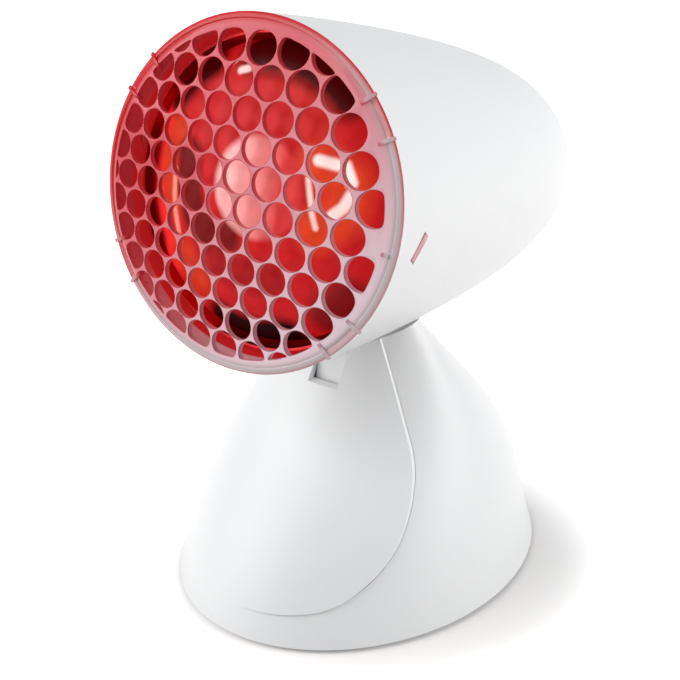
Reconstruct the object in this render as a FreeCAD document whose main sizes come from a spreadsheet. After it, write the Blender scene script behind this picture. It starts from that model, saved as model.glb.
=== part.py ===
import FreeCAD, Part
import math
import os

os.makedirs("parts", exist_ok=True)
Vector = FreeCAD.Vector

# An infrared heat lamp: a bell-shaped head with a domed grille tilts in an egg-shaped stand.
# Millimetres. +Z is up, the lamp shines towards -Y, and the origin lies on the resting plane,
# in the middle of the foot.
# Head pieces are drawn on the head's own axis: Y runs back from the apex of the grille's dome.

doc = FreeCAD.newDocument("heat_lamp")
sheet = doc.addObject("Spreadsheet::Sheet", "sizes")

driving = {
    "foot_width": (121, "stand, across the floor"),
    "foot_depth": (150, "stand, front to back on the floor"),
    "stand_height": (98, "stand, before the head's seat is cut"),
    "foot_lift": (1.8, "rubber feet under the base"),
    "stand_wall": (2.6, "stand wall, measured level"),
    "skirt_gap": (0.3, "base plate inside the stand"),
    "base_thickness": (2.5, "base plate"),
    "cover_proud": (1.0, "front cover beyond the stand"),
    "cover_gap": (0.15, "parting line round the front cover"),
    "cover_half_width": (40.7, "front cover, widest"),
    "cover_wide_height": (35, "height where it is widest"),
    "cover_corner": (22, "its lower corners' radius"),
    "cover_bottom": (11.3, "its lowest point"),
    "cover_side": (55, "its sides' radius"),
    "cover_side_top": (62.5, "height where its sides turn straight"),
    "notch_width": (12, "notch for the lug, in the cover's top"),
    "notch_drop": (22.2, "notch's lower edge, below the stand's top"),
    "rear_slot_drop": (18, "lug's slot at the rear, below the stand's top"),
    "apex_front": (69.7, "grille's apex, in front of the origin"),
    "apex_rise": (61.2, "grille's apex, above the stand's top"),
    "rest_tilt": (12.5, "head's axis above level, at rest"),
    "tilt_range": (12, "head's travel each way"),
    "tilt_steps": (5, "positions that the head clicks into"),
    "ring_radius": (56, "grille ring and bell mouth"),
    "ring_depth": (7.3, "grille apex to bell mouth"),
    "bell_length": (172, "bell, mouth to rear"),
    "bell_taper": (1.17, "power of the bell's taper"),
    "bell_fullness": (3.95, "power of the bell's rounding"),
    "bell_wall": (2.2, "bell wall"),
    "seat_gap": (0.9, "between head and stand"),
    "dome_radius": (240, "outside of the grille's dome"),
    "grille_thickness": (2, "grille's dome"),
    "ring_face": (4.8, "grille's ring, round the field of holes"),
    "hole_pitch": (11.14, "between hole centres"),
    "hole_diameter": (10.4, "holes in the grille"),
    "skirt_length": (7, "grille's skirt inside the bell"),
    "skirt_wall": (1.8, "grille's skirt"),
    "grille_gap": (0.4, "skirt inside the bell"),
    "latch_above": (36, "latches above the sides"),
    "latch_below": (42.5, "latches below the sides"),
    "latch_spread": (7.3, "from a latch's middle to its ribs"),
    "side_rib_angle": (8, "lone rib, below the right side"),
    "rib_thickness": (1.2, "latch rib"),
    "tab_angle": (6.3, "side tabs, below the right side"),
    "tab_setback": (13, "side tabs, behind the bell's mouth"),
    "tab_length": (9.6, "side tab"),
    "tab_width": (2.8, "side tab"),
    "tab_slant": (34, "side tab, from the rim's direction"),
    "tab_clearance": (0.25, "round a side tab"),
    "vent_count": (5, "air slots in the bell's rear"),
    "vent_pitch": (8, "between air slots"),
    "vent_width": (2.6, "air slot"),
    "shield_gap": (3, "between bell and heat shield"),
    "shield_thickness": (0.8, "heat shield"),
    "shield_setback": (10, "shield's front edge behind the mouth"),
    "lamp_setback": (5.8, "lamp's face behind the grille's apex"),
    "lamp_gap": (2.5, "reflector lamp inside the heat shield's mouth"),
    "lamp_length": (138, "reflector lamp with its cap"),
    "cap_radius": (13.2, "screw cap"),
    "cap_length": (27, "screw cap with its contact"),
    "glass_wall": (1.2, "lamp's glass"),
    "plate_thickness": (1.2, "socket plate"),
    "socket_radius": (20, "lamp socket"),
    "socket_length": (38, "lamp socket"),
    "sleeve_wall": (0.9, "socket's threaded sleeve"),
    "post_circle": (32, "radius of the ring of posts in the bell"),
    "post_radius": (4, "bell's posts"),
    "pivot_back": (2, "hinge pin, behind the origin"),
    "pivot_drop": (28, "hinge pin, below the stand's top"),
    "pin_radius": (3, "hinge pin"),
    "running_gap": (0.05, "lug's bore round the pin"),
    "lug_width": (11.2, "hinge lug, across"),
    "lug_radius": (17.5, "hinge lug's round end"),
    "lug_front": (22, "lug's front face before the pin"),
    "lug_back": (10, "lug's rear face behind the pin"),
    "channel_front": (11, "leads' channel before the pin"),
    "channel_width": (6, "leads' channel, across"),
    "channel_depth": (4, "leads' channel, front to back"),
    "washer_thickness": (1.1, "friction washer"),
    "washer_radius": (6.5, "friction washer"),
    "side_play": (0.05, "beside lug and washers"),
    "ear_thickness": (3.5, "column's ears"),
    "ear_radius": (9, "column's ears round the pin"),
    "column_width": (27, "hinge column"),
    "column_depth": (36, "hinge column"),
    "column_wall": (2.5, "hinge column"),
    "column_drop": (54, "column's deck, below the stand's top"),
    "column_foot": (3, "hinge column's flange"),
    "lead_radius": (1, "insulated lead"),
    "inlet_height": (12, "cord gland's axis above the floor"),
    "inlet_bore": (3.6, "cord gland's bore radius"),
    "gland_radius": (6, "cord gland's neck"),
    "gland_flange": (8.2, "cord gland's flange"),
    "gland_inset": (2.5, "gland's flange seat, ahead of the stand's rear"),
    "gland_inside": (12.5, "cord gland's neck"),
    "gland_lip": (1.5, "cord gland's flange, thick"),
    "switch_height": (35, "rocker switch's middle"),
    "switch_inset": (13.4, "rocker switch's face, ahead of the stand's rear"),
    "switch_lean": (21, "rocker switch's lean from upright"),
    "switch_width": (13, "switch housing"),
    "switch_length": (19, "switch housing"),
    "switch_depth": (12, "switch housing behind the face"),
    "rocker_throw": (16, "rocker's travel in degrees"),
    "rocker_gap": (0.3, "rocker in its housing"),
    "screw_radius": (1.5, "self-tapping screws"),
    "screw_head": (2.8, "their heads"),
    "head_height": (1.6, "their heads' height"),
}
for row, (alias, (value, meaning)) in enumerate(driving.items(), start=1):
    sheet.set(f"A{row}", alias)
    sheet.set(f"B{row}", str(value))
    sheet.set(f"C{row}", meaning)
    sheet.setAlias(f"B{row}", alias)
doc.recompute()


def size(alias):
    """A driving dimension, read from the sheet."""
    return float(sheet.get(alias))


pivot_height = "(sizes.stand_height - sizes.pivot_drop)"
apex_height = "(sizes.stand_height + sizes.apex_rise)"
column_top = "(sizes.stand_height - sizes.column_drop)"
gland_seat = "(sizes.foot_depth / 2 - sizes.gland_inset)"
switch_back = "(sizes.foot_depth / 2 - sizes.switch_inset)"
pivot_up = size("stand_height") - size("pivot_drop")
apex_up = size("stand_height") + size("apex_rise")
seat_back = size("foot_depth") / 2 - size("gland_inset")
switch_face = size("foot_depth") / 2 - size("switch_inset")

# ---- document helpers ------------------------------------------------------------------------

nodes = []


def bind(thing, links):
    """Tie properties of an object to expressions on the sheet."""
    for name, text in links.items():
        thing.setExpression(name, str(text))
    return thing


def place(thing, x=0, y=0, z=0):
    """Put an object at a point given by expressions."""
    return bind(thing, {"Placement.Base.x": x, "Placement.Base.y": y, "Placement.Base.z": z})


turns = {
    "Z": FreeCAD.Rotation(),
    "X": FreeCAD.Rotation(Vector(0, 1, 0), 90),
    "Y": FreeCAD.Rotation(Vector(1, 0, 0), -90),
}


def rod(name, radius, length, x=0, y=0, z=0, along="Z"):
    """A cylinder that starts at a point and runs along an axis."""
    thing = doc.addObject("Part::Cylinder", name)
    thing.Placement = FreeCAD.Placement(Vector(), turns[along])
    bind(thing, {"Radius": radius, "Height": length})
    return place(thing, x, y, z)


def block(name, width, depth, height, x=0, y=0, z=0):
    """A box, centred on x and y, that stands on z."""
    thing = doc.addObject("Part::Box", name)
    bind(thing, {"Length": width, "Width": depth, "Height": height})
    return place(thing, f"({x}) - ({width}) / 2", f"({y}) - ({depth}) / 2", z)


def form(name, shape):
    """A piece that only Part's own functions can draw."""
    thing = doc.addObject("Part::Feature", name)
    thing.Shape = shape
    return thing


def join(name, *pieces):
    thing = doc.addObject("Part::MultiFuse", name)
    thing.Shapes = list(pieces)
    return thing


def group(name, *pieces):
    thing = doc.addObject("Part::Compound", name)
    thing.Links = list(pieces)
    return thing


def cut(name, base, *tools):
    """The base less one or more tools."""
    thing = doc.addObject("Part::Cut", name)
    thing.Base = base
    thing.Tool = tools[0] if len(tools) == 1 else group(name + "_tools", *tools)
    return thing


def common(name, first, second):
    thing = doc.addObject("Part::Common", name)
    thing.Base = first
    thing.Tool = second
    return thing


def spin(name, outline):
    """Turn a closed outline of edges round the Y axis."""
    face = form(name + "_outline", Part.Face(Part.Wire(Part.__sortEdges__(outline))))
    thing = doc.addObject("Part::Revolution", name)
    thing.Source = face
    thing.Axis = Vector(0, 1, 0)
    thing.Base = Vector()
    thing.Angle = 360
    return thing


def stand_node(label, thing):
    """Keep an object as a piece of the stand."""
    thing.Label = label
    nodes.append((label, thing))
    return thing


def tipped(name, toward, y, z, angle, *pieces):
    """Pieces turned about X, toward +1 or -1, and set at a point."""
    holder = group(name, *pieces)
    holder.Placement = FreeCAD.Placement(Vector(), FreeCAD.Rotation(Vector(toward, 0, 0), 1))
    return bind(holder, {
        "Placement.Base.y": y,
        "Placement.Base.z": z,
        "Placement.Rotation.Angle": angle,
    })


def head_node(label, thing):
    """Keep an object as a piece of the head, set on the head's axis at rest."""
    return stand_node(label, tipped(label + "_in_head", -1, "-sizes.apex_front",
                                    apex_height, "sizes.rest_tilt", thing))


def screws(name, spots, length, along="Z", sign=1):
    """Pan-head screws: each spot is where a head meets its piece, the shank runs on from it."""
    head_back = "sizes.head_height" if sign > 0 else "0"
    shank_back = "0" if sign > 0 else length
    pieces = []
    for number, (x, y, z) in enumerate(spots):
        head_at = {"X": x, "Y": y, "Z": z}
        shank_at = dict(head_at)
        head_at[along] = f"({head_at[along]}) - ({head_back})"
        shank_at[along] = f"({shank_at[along]}) - ({shank_back})"
        head = rod(f"{name}_head{number}", "sizes.screw_head", "sizes.head_height",
                   head_at["X"], head_at["Y"], head_at["Z"], along)
        shank = rod(f"{name}_shank{number}", "sizes.screw_radius", length,
                    shank_at["X"], shank_at["Y"], shank_at["Z"], along)
        pieces.append(join(f"{name}_screw{number}", head, shank))
    return group(name + "_set", *pieces)


def edges_through(points):
    """Straight edges through points given as (radius, distance back)."""
    corners = [Vector(radius, back, 0) for radius, back in points]
    return [Part.LineSegment(a, b).toShape() for a, b in zip(corners, corners[1:])]


def lead(points, radius, bend):
    """An insulated lead: straight runs joined by arcs of one bend radius."""
    corners = [Vector(*point) for point in points]
    path = []
    start = corners[0]
    for before, corner, after in zip(corners, corners[1:], corners[2:]):
        into = (corner - before).normalize()
        out = (after - corner).normalize()
        half_turn = into.getAngle(out) / 2
        trim = bend * math.tan(half_turn)
        first = corner - into * trim
        last = corner + out * trim
        inward = (out - into).normalize()
        middle = corner + inward * (bend / math.cos(half_turn) - bend)
        path.append(Part.LineSegment(start, first).toShape())
        path.append(Part.Arc(first, middle, last).toShape())
        start = last
    path.append(Part.LineSegment(start, corners[-1]).toShape())
    ring = Part.Wire(Part.Circle(corners[0], corners[1] - corners[0], radius).toShape())
    return Part.Wire(path).makePipeShell([ring], True, True)


# ---- the bell's outline ----------------------------------------------------------------------

ring_radius = size("ring_radius")
ring_depth = size("ring_depth")
bell_length = size("bell_length")
bell_wall = size("bell_wall")
profile_points = 12


def bell_radius(setback, inset=0):
    """Radius of the bell, or of a skin inside it, at a distance behind the mouth."""
    share = min(max(setback / (bell_length - inset), 0), 1)
    fall = 1 - share ** size("bell_taper")
    return (ring_radius - inset) * fall ** (1 / size("bell_fullness"))


def bell_curve(inset):
    """The bell's side, from the mouth to the axis at the rear, as one spline."""
    points = []
    for step in range(profile_points + 1):
        setback = (bell_length - inset) * math.sin(math.pi / 2 * step / profile_points)
        points.append(Vector(bell_radius(setback, inset), ring_depth + setback, 0))
    points[-1].x = 0
    curve = Part.BSplineCurve()
    curve.interpolate(Points=points, InitialTangent=points[1] - points[0],
                      FinalTangent=Vector(-1, 0, 0))
    return curve.toShape()


def bell_outline(inset, forward=0):
    """A closed outline of the bell, carried forward of the mouth by a straight run."""
    radius = ring_radius - inset
    rear = Vector(0, ring_depth + bell_length - inset, 0)
    mouth = Vector(radius, ring_depth, 0)
    front = Vector(radius, ring_depth - forward, 0)
    axis = Vector(0, ring_depth - forward, 0)
    outline = [bell_curve(inset)]
    if forward:
        outline.append(Part.LineSegment(mouth, front).toShape())
    outline.append(Part.LineSegment(front, axis).toShape())
    outline.append(Part.LineSegment(axis, rear).toShape())
    return outline


# ---- where the pivot lies on the head's own axis ---------------------------------------------

tilt = math.radians(size("rest_tilt"))
ahead = size("pivot_back") + size("apex_front")
below = pivot_up - apex_up
pivot_y = ahead * math.cos(tilt) - below * math.sin(tilt)
pivot_z = ahead * math.sin(tilt) + below * math.cos(tilt)

# ---- bell ------------------------------------------------------------------------------------

plate_front = "sizes.lamp_setback + sizes.lamp_length - sizes.cap_length + 1"
plate_back = f"{plate_front} + sizes.plate_thickness"
post_turns = (90, 210, 330)
terminal_spread = 9
lead_spread = 1.6


def round_axis(radius, turn):
    """Expressions for x and z at an angle round the head's axis, from +X towards +Z."""
    return f"{radius} * cos({turn} deg)", f"{radius} * sin({turn} deg)"


def side_tab(name, turn, inner, outer, grow):
    """A slanted block through the bell's side, where a tab of the grille clicks in."""
    width = size("tab_width") + 2 * grow
    length = size("tab_length") + 2 * grow
    tab = doc.addObject("Part::Box", name)
    bind(tab, {
        "Length": f"{outer} - {inner}",
        "Width": f"sizes.tab_width + {2 * grow}",
        "Height": f"sizes.tab_length + {2 * grow}",
    })
    corner = FreeCAD.Placement(Vector(inner, -width / 2, -length / 2), FreeCAD.Rotation())
    slant = FreeCAD.Placement(Vector(0, ring_depth + size("tab_setback"), 0),
                              FreeCAD.Rotation(Vector(1, 0, 0), -size("tab_slant")))
    around = FreeCAD.Placement(Vector(), FreeCAD.Rotation(Vector(0, 1, 0), turn))
    tab.Placement = around.multiply(slant).multiply(corner)
    return tab


bell_body = spin("bell_body", bell_outline(0))
lug_end = rod("lug_end", "sizes.lug_radius", "sizes.lug_width",
              "-sizes.lug_width / 2", pivot_y, pivot_z, "X")
lug_neck = block("lug_neck", "sizes.lug_width", "sizes.lug_front + sizes.lug_back",
                 f"{-pivot_z} - 0.7 * sizes.ring_radius",
                 0, f"{pivot_y} + (sizes.lug_back - sizes.lug_front) / 2", pivot_z)
bell_cavity = spin("bell_cavity", bell_outline(bell_wall, forward=2))
bell_skin = cut("bell_skin", join("bell_with_lug", bell_body, lug_end, lug_neck), bell_cavity)

posts = []
pilots = []
for turn in post_turns:
    post_x, post_z = round_axis("sizes.post_circle", turn)
    posts.append(rod(f"post{turn}", "sizes.post_radius", "sizes.bell_length",
                     post_x, plate_back, post_z, "Y"))
    pilots.append(rod(f"pilot{turn}", "sizes.screw_radius", 8, post_x, plate_back, post_z, "Y"))
bell_posts = common("bell_posts", join("post_rods", *posts), bell_body)

tab_holes = [
    side_tab(f"tab_hole{turn}", size("tab_angle") + turn, ring_radius - 7, ring_radius + 3,
             size("tab_clearance"))
    for turn in (0, 180)
]
vent_reach = 24
vent_depth = 14
vents = []
vent_count = int(size("vent_count"))
for number in range(vent_count):
    offset = (number - (vent_count - 1) / 2) * size("vent_pitch")
    reach = math.sqrt(vent_reach ** 2 - offset ** 2)
    vents.append(block(f"vent{number}", "sizes.vent_width", vent_depth * 2, 2 * reach,
                       offset, "sizes.ring_depth + sizes.bell_length", -reach))
channel = block("channel", "sizes.channel_width", "sizes.channel_depth", "3 * sizes.lug_radius",
                0, f"{pivot_y} - sizes.channel_front", f"{pivot_z} - sizes.lug_radius")
bore = rod("lug_bore", "sizes.pin_radius + sizes.running_gap", "2 * sizes.lug_width",
           "-sizes.lug_width", pivot_y, pivot_z, "X")
notch_radius = 0.8
detents = []
steps = int(size("tilt_steps"))
for number in range(steps):
    swing = size("tilt_range") * (2 * number / (steps - 1) - 1) + size("rest_tilt") - 90
    detents.append(rod(f"detent{number}", notch_radius, "2 * sizes.lug_width", "-sizes.lug_width",
                       f"{pivot_y} + sizes.lug_radius * cos({swing} deg)",
                       f"{pivot_z} + sizes.lug_radius * sin({swing} deg)", "X"))
head_shell = cut("bell_finished", join("bell_and_posts", bell_skin, bell_posts),
                 *pilots, *tab_holes, *vents, channel, bore, *detents)
head_node("head_shell", head_shell)

# ---- grille ----------------------------------------------------------------------------------

dome_radius = size("dome_radius")
pattern_radius = ring_radius - size("ring_face")
skirt_length = size("skirt_length")


def dome_arc(radius, start, end):
    """An arc of the dome, or of its inside, between two distances from the axis."""
    points = []
    for out in (start, (start + end) / 2, end):
        points.append(Vector(out, dome_radius - math.sqrt(radius ** 2 - out ** 2), 0))
    return Part.Arc(*points).toShape()


outer_arc = dome_arc(dome_radius, 0, pattern_radius)
inner_arc = dome_arc(dome_radius - size("grille_thickness"), pattern_radius, 0)
rim_depth = outer_arc.Vertexes[-1].Point.y
inner_rim = inner_arc.Vertexes[0].Point
inner_apex = inner_arc.Vertexes[-1].Point.y
skirt_front = ring_radius - bell_wall - size("grille_gap")
skirt_rear = bell_radius(skirt_length, bell_wall) - size("grille_gap")
skirt_wall = size("skirt_wall")
grille_steps = edges_through([
    (pattern_radius, rim_depth),
    (ring_radius - 2.1, rim_depth + 0.8),
    (ring_radius - 1.9, rim_depth + 0.4),
    (ring_radius - 0.8, rim_depth + 0.7),
    (ring_radius, rim_depth + 1.3),
    (ring_radius, ring_depth),
    (skirt_front, ring_depth),
    (skirt_rear, ring_depth + skirt_length),
    (skirt_rear - skirt_wall, ring_depth + skirt_length),
    (skirt_front - skirt_wall, inner_rim.y + 1.6),
    (inner_rim.x, inner_rim.y),
])
grille_blank = spin("grille_blank", [outer_arc] + grille_steps + [inner_arc]
                    + edges_through([(0, inner_apex), (0, 0)]))

hole_pitch = size("hole_pitch")
row_pitch = hole_pitch * math.sqrt(3) / 2
hole_rows = int(pattern_radius / row_pitch)
hole_tools = []
for row in range(-hole_rows, hole_rows + 2):
    for column in range(-hole_rows - 1, hole_rows + 2):
        hole_x = (column + ((row + 1) % 2) / 2) * hole_pitch
        hole_z = (row - 1 / 3) * row_pitch
        if math.hypot(hole_x, hole_z) < pattern_radius:
            hole_tools.append(Part.makeCylinder(size("hole_diameter") / 2, 2 * ring_depth,
                                                Vector(hole_x, -1, hole_z), Vector(0, 1, 0)))
field_edge = rod("field_edge", "sizes.ring_radius - sizes.ring_face - 0.5",
                 "2 * sizes.ring_depth", 0, -1, 0, "Y")
field_edge.Placement.Rotation = FreeCAD.Rotation(Vector(0, 1, 0), 20) * turns["Y"]
holes = common("holes", form("hole_field", Part.makeCompound(hole_tools)), field_edge)

rib_reach = 0.7
rib_start = pattern_radius - 1.2
rib_box_start = rib_start - 1
rib_section = spin("rib_section", edges_through([
    (rib_start, rim_depth + 1),
    (pattern_radius, rim_depth - 0.5),
    (ring_radius - 1.9, rim_depth - 0.1),
    (ring_radius + rib_reach, rim_depth + 0.9),
    (ring_radius + rib_reach, ring_depth - 0.2),
    (rib_start, ring_depth - 0.2),
    (rib_start, rim_depth + 1),
]))


def round_ring(thing, turn, inner, front):
    """Swing a box, drawn about the X axis, round the head's axis."""
    around = FreeCAD.Rotation(Vector(0, 1, 0), -turn)
    half_width = thing.Height.Value / 2
    corner = around.multVec(Vector(inner, 0, -half_width))
    thing.Placement = FreeCAD.Placement(corner + Vector(0, front, 0), around)
    return thing


def radial_box(name, turn, inner, length, front, depth, width):
    """A box that points out from the head's axis at an angle from +X towards +Z."""
    box = doc.addObject("Part::Box", name)
    bind(box, {"Length": length, "Width": depth, "Height": width})
    doc.recompute([box])
    return round_ring(box, turn, inner, front)


ribs = []
recesses = []
for middle in (size("latch_above"), -size("latch_below")):
    for latch in (middle, 180 - middle):
        for turn in (latch - size("latch_spread"), latch + size("latch_spread")):
            ribs.append(radial_box(f"rib{turn % 360:.0f}", turn, rib_box_start, 10, 0,
                                   "sizes.ring_depth + 1", "sizes.rib_thickness"))
        recesses.append(radial_box(f"recess{latch % 360:.0f}", latch, ring_radius - 2.2, 4,
                                   rim_depth - 1, 1.9, 12.5))
side_rib = radial_box("side_rib", -size("side_rib_angle"), rib_box_start,
                      f"sizes.ring_radius - 2.6 - {rib_box_start}", 0, "sizes.ring_depth + 1",
                      "sizes.rib_thickness")
latch_ribs = common("latch_ribs", join("rib_boxes", *ribs, side_rib), rib_section)

tongue_inside = skirt_rear - skirt_wall + 0.1
tabs = []
for turn in (0, 180):
    tabs.append(side_tab(f"tab{turn}", size("tab_angle") + turn, tongue_inside + 0.3,
                         ring_radius - 0.6, 0))
    tabs.append(radial_box(f"tongue{turn}", -size("tab_angle") - turn, tongue_inside,
                           "sizes.skirt_wall - 0.9", ring_depth + skirt_length - 1,
                           "sizes.tab_setback - sizes.skirt_length + sizes.tab_length / 2 + 1",
                           "sizes.tab_length"))
grille_body = cut("grille_body", grille_blank, holes, *recesses)
head_node("grille", join("grille_whole", grille_body, latch_ribs, *tabs))

# ---- heat shield and socket plate ------------------------------------------------------------

shield_outer = bell_wall + size("shield_gap")
shield_inner = shield_outer + size("shield_thickness")
flange_front = f"{plate_front} - sizes.shield_thickness"
socket_radius = size("socket_radius")
shield_skin = cut("shield_skin", spin("shield_outside", bell_outline(shield_outer)),
                  spin("shield_inside", bell_outline(shield_inner)))
shield_span = rod("shield_span", "sizes.ring_radius",
                  f"{plate_front} - sizes.ring_depth - sizes.shield_setback",
                  0, "sizes.ring_depth + sizes.shield_setback", 0, "Y")
flange_disc = common("flange_disc",
                     rod("flange_rod", "sizes.ring_radius", "sizes.shield_thickness",
                         0, flange_front, 0, "Y"),
                     spin("flange_edge", bell_outline(shield_outer + 0.1)))
shield_whole = join("shield_whole", common("shield_side", shield_skin, shield_span), flange_disc)
post_spots = [round_axis("sizes.post_circle", turn) for turn in post_turns]
screw_holes = [rod(f"post_hole{number}", "sizes.screw_radius + 0.2", 4, x, f"{flange_front} - 1",
                   z, "Y") for number, (x, z) in enumerate(post_spots)]
flange_opening = rod("flange_opening", "sizes.socket_radius + 1.5", 4,
                     0, f"{flange_front} - 1", 0, "Y")
head_node("heat_shield", cut("shield_drilled", shield_whole, flange_opening, *screw_holes))
head_node("shield_screws", screws("shield", [(x, flange_front, z) for x, z in post_spots],
                                  9, "Y"))

arms = [radial_box(f"arm{turn}", turn, 0, "sizes.post_circle + 5",
                   float(size("lamp_setback") + size("lamp_length") - size("cap_length") + 1),
                   "sizes.plate_thickness", "2 * sizes.post_radius + 1") for turn in post_turns]
plate_disc = rod("plate_disc", "sizes.socket_radius + 4", "sizes.plate_thickness",
                 0, plate_front, 0, "Y")
plate_hole = rod("plate_hole", "sizes.cap_radius + 1.7", 4, 0, f"{plate_front} - 1", 0, "Y")
socket_screw_out = (socket_radius + size("cap_radius") + 1.2) / 2
socket_spots = [(x, plate_front, 0) for x in (-socket_screw_out, socket_screw_out)]
socket_holes = [rod(f"socket_hole{number}", "sizes.screw_radius + 0.2", 4, x,
                    f"{plate_front} - 1", 0, "Y") for number, (x, y, z) in enumerate(socket_spots)]
head_node("socket_plate", cut("plate_drilled", join("plate_blank", plate_disc, *arms),
                              plate_hole, *screw_holes, *socket_holes))
socket_pilots = [rod(f"socket_pilot{number}", "sizes.screw_radius", 10, x, plate_front, 0, "Y")
                 for number, (x, y, z) in enumerate(socket_spots)]
head_node("socket_screws", screws("socket", socket_spots, 9, "Y"))

# ---- lamp socket -----------------------------------------------------------------------------

cap_end = "sizes.lamp_setback + sizes.lamp_length"
socket_bore = rod("socket_bore", "sizes.cap_radius + 0.3 + sizes.sleeve_wall",
                  f"{cap_end} + 1 - ({plate_back})", 0, plate_back, 0, "Y")
head_node("socket_body", cut("socket_bored", rod("socket_barrel", "sizes.socket_radius",
                                                 "sizes.socket_length", 0, plate_back, 0, "Y"),
                             socket_bore, *socket_pilots))
sleeve_front = f"{plate_back} + 2"
sleeve_length = 21
head_node("socket_sleeve", cut(
    "sleeve_bored",
    rod("sleeve_outside", "sizes.cap_radius + 0.3 + sizes.sleeve_wall", sleeve_length,
        0, sleeve_front, 0, "Y"),
    rod("sleeve_inside", "sizes.cap_radius + 0.3", sleeve_length, 0, sleeve_front, 0, "Y")))
head_node("socket_spring", block("socket_strip", 8, 1, 5, 0, f"{cap_end} + 0.5", -2.5))
head_node("socket_terminals", group("terminal_studs", *[
    rod(f"terminal_stud{sign}", 2.5, 3, sign * terminal_spread,
        f"{plate_back} + sizes.socket_length", 0, "Y") for sign in (-1, 1)]))

# ---- reflector lamp --------------------------------------------------------------------------

lamp_setback = size("lamp_setback")
lamp_radius = ring_radius - shield_inner - size("lamp_gap")
glass_wall = size("glass_wall")
glass_length = size("lamp_length") - size("cap_length")
neck_radius = size("cap_radius") - 0.3
# Shares of the lamp's radius, and of the distance from its face to its cap
glass_shares = ((0.42, 0.012), (0.8, 0.054), (0.958, 0.099), (1, 0.153), (0.947, 0.252),
                (0.758, 0.414), (0.526, 0.577), (0.358, 0.712), (0.305, 0.802))


def glass_side(inset):
    """The glass's side from the axis to the neck, as one spline, inset by a thickness."""
    points = [Vector(0, lamp_setback, 0)]
    points += [Vector(out * lamp_radius, lamp_setback + back * glass_length, 0)
               for out, back in glass_shares]
    points += [Vector(neck_radius, lamp_setback + glass_length + into_cap, 0)
               for into_cap in (-3, 2)]
    inner = []
    for number, point in enumerate(points):
        ahead_of = points[max(number - 1, 0)]
        after = points[min(number + 1, len(points) - 1)]
        run = (after - ahead_of).normalize()
        if number in (0, len(points) - 1):
            run = Vector(1, 0, 0) if number == 0 else Vector(0, 1, 0)
        inner.append(point + Vector(-run.y, run.x, 0) * inset)
    curve = Part.BSplineCurve()
    curve.interpolate(Points=inner, InitialTangent=Vector(1, 0, 0), FinalTangent=Vector(0, 1, 0))
    return curve.toShape()


glass_out = glass_side(0)
glass_in = glass_side(glass_wall)
head_node("lamp_glass", spin("glass_wall", [glass_out, glass_in] + [
    Part.LineSegment(glass_out.Vertexes[end].Point, glass_in.Vertexes[end].Point).toShape()
    for end in (0, 1)]))

cap_front = f"{cap_end} - sizes.cap_length"
shell_length = 22
cap_outside = rod("cap_outside", "sizes.cap_radius", shell_length, 0, cap_front, 0, "Y")
cap_inside = rod("cap_inside", "sizes.cap_radius - 0.3", shell_length, 0, cap_front, 0, "Y")
head_node("lamp_cap", cut("cap_shell", cap_outside, cap_inside))
insulator = doc.addObject("Part::Cone", "insulator_cone")
insulator.Placement = FreeCAD.Placement(Vector(), turns["Y"])
bind(insulator, {"Radius1": "sizes.cap_radius", "Radius2": 5, "Height": 3})
head_node("lamp_insulator", place(insulator, 0, f"{cap_front} + {shell_length}", 0))
head_node("lamp_contact", rod("contact_stud", 4, 2, 0, f"{cap_end} - 2", 0, "Y"))
coil_back = lamp_setback + 0.47 * glass_length
coil_radius = 9
coil_turn = 270
support_length = 3.5
stem_front = coil_back + 0.5 + support_length
head_node("lamp_stem", rod("stem_rod", 4, 0.27 * glass_length, 0, stem_front, 0, "Y"))
filament = Part.Wire(Part.makeCircle(coil_radius, Vector(0, coil_back, 0),
                                     Vector(0, 1, 0), 0, coil_turn)).makePipeShell(
    [Part.Wire(Part.makeCircle(0.6, Vector(0, coil_back, coil_radius),
                               Vector(1, 0, 0)))], True, True)
head_node("lamp_filament", form("filament_coil", filament))
head_node("lamp_supports", group("support_pair", *[
    rod(f"support{sign}", 0.5, support_length, sign * 2.5, coil_back + 0.5, 0, "Y")
    for sign in (-1, 1)]))


# ---- leads inside the head -------------------------------------------------------------------

lead_radius = size("lead_radius")
channel_y = pivot_y - size("channel_front")
channel_end = pivot_z - size("lug_radius") + 1
terminal_y = (size("lamp_setback") + size("lamp_length") - size("cap_length") + 1
              + size("plate_thickness") + size("socket_length") + 3)
head_leads = []
for side in (-1, 1):
    route = [(side * terminal_spread, terminal_y, 0), (side * terminal_spread, terminal_y + 6, 0),
             (side * lead_spread, terminal_y + 6, -20)]
    for share in (0.84, 0.753, 0.648, 0.538):
        setback = share * bell_length
        route.append((side * lead_spread, ring_depth + setback,
                      1.5 - bell_radius(setback, bell_wall)))
    route.append((side * lead_spread, channel_y, 1.7 - bell_radius(channel_y - ring_depth,
                                                                 bell_wall)))
    route.append((side * lead_spread, channel_y, channel_end))
    head_leads.append(form(f"head_lead{side}", lead(route, lead_radius, 2.5)))
head_node("head_leads", group("head_lead_pair", *head_leads))

# ---- the stand's outline ---------------------------------------------------------------------

stand_height = size("stand_height")
stand_wall = size("stand_wall")
cover_gap = size("cover_gap")
# Each level of the stand: share of its height, then of the foot's half width and of the reach
# of its front and its back.
levels = ((0, 1, 1, 1), (0.153, 0.95, 0.913, 0.92), (0.408, 0.851, 0.7, 0.793),
          (0.673, 0.686, 0.407, 0.52), (0.867, 0.521, 0.233, 0.267), (1, 0.388, 0.147, 0.107))
seam_turn = 60  # the surface's seam lies behind the right side, away from the cover's edge


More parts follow.
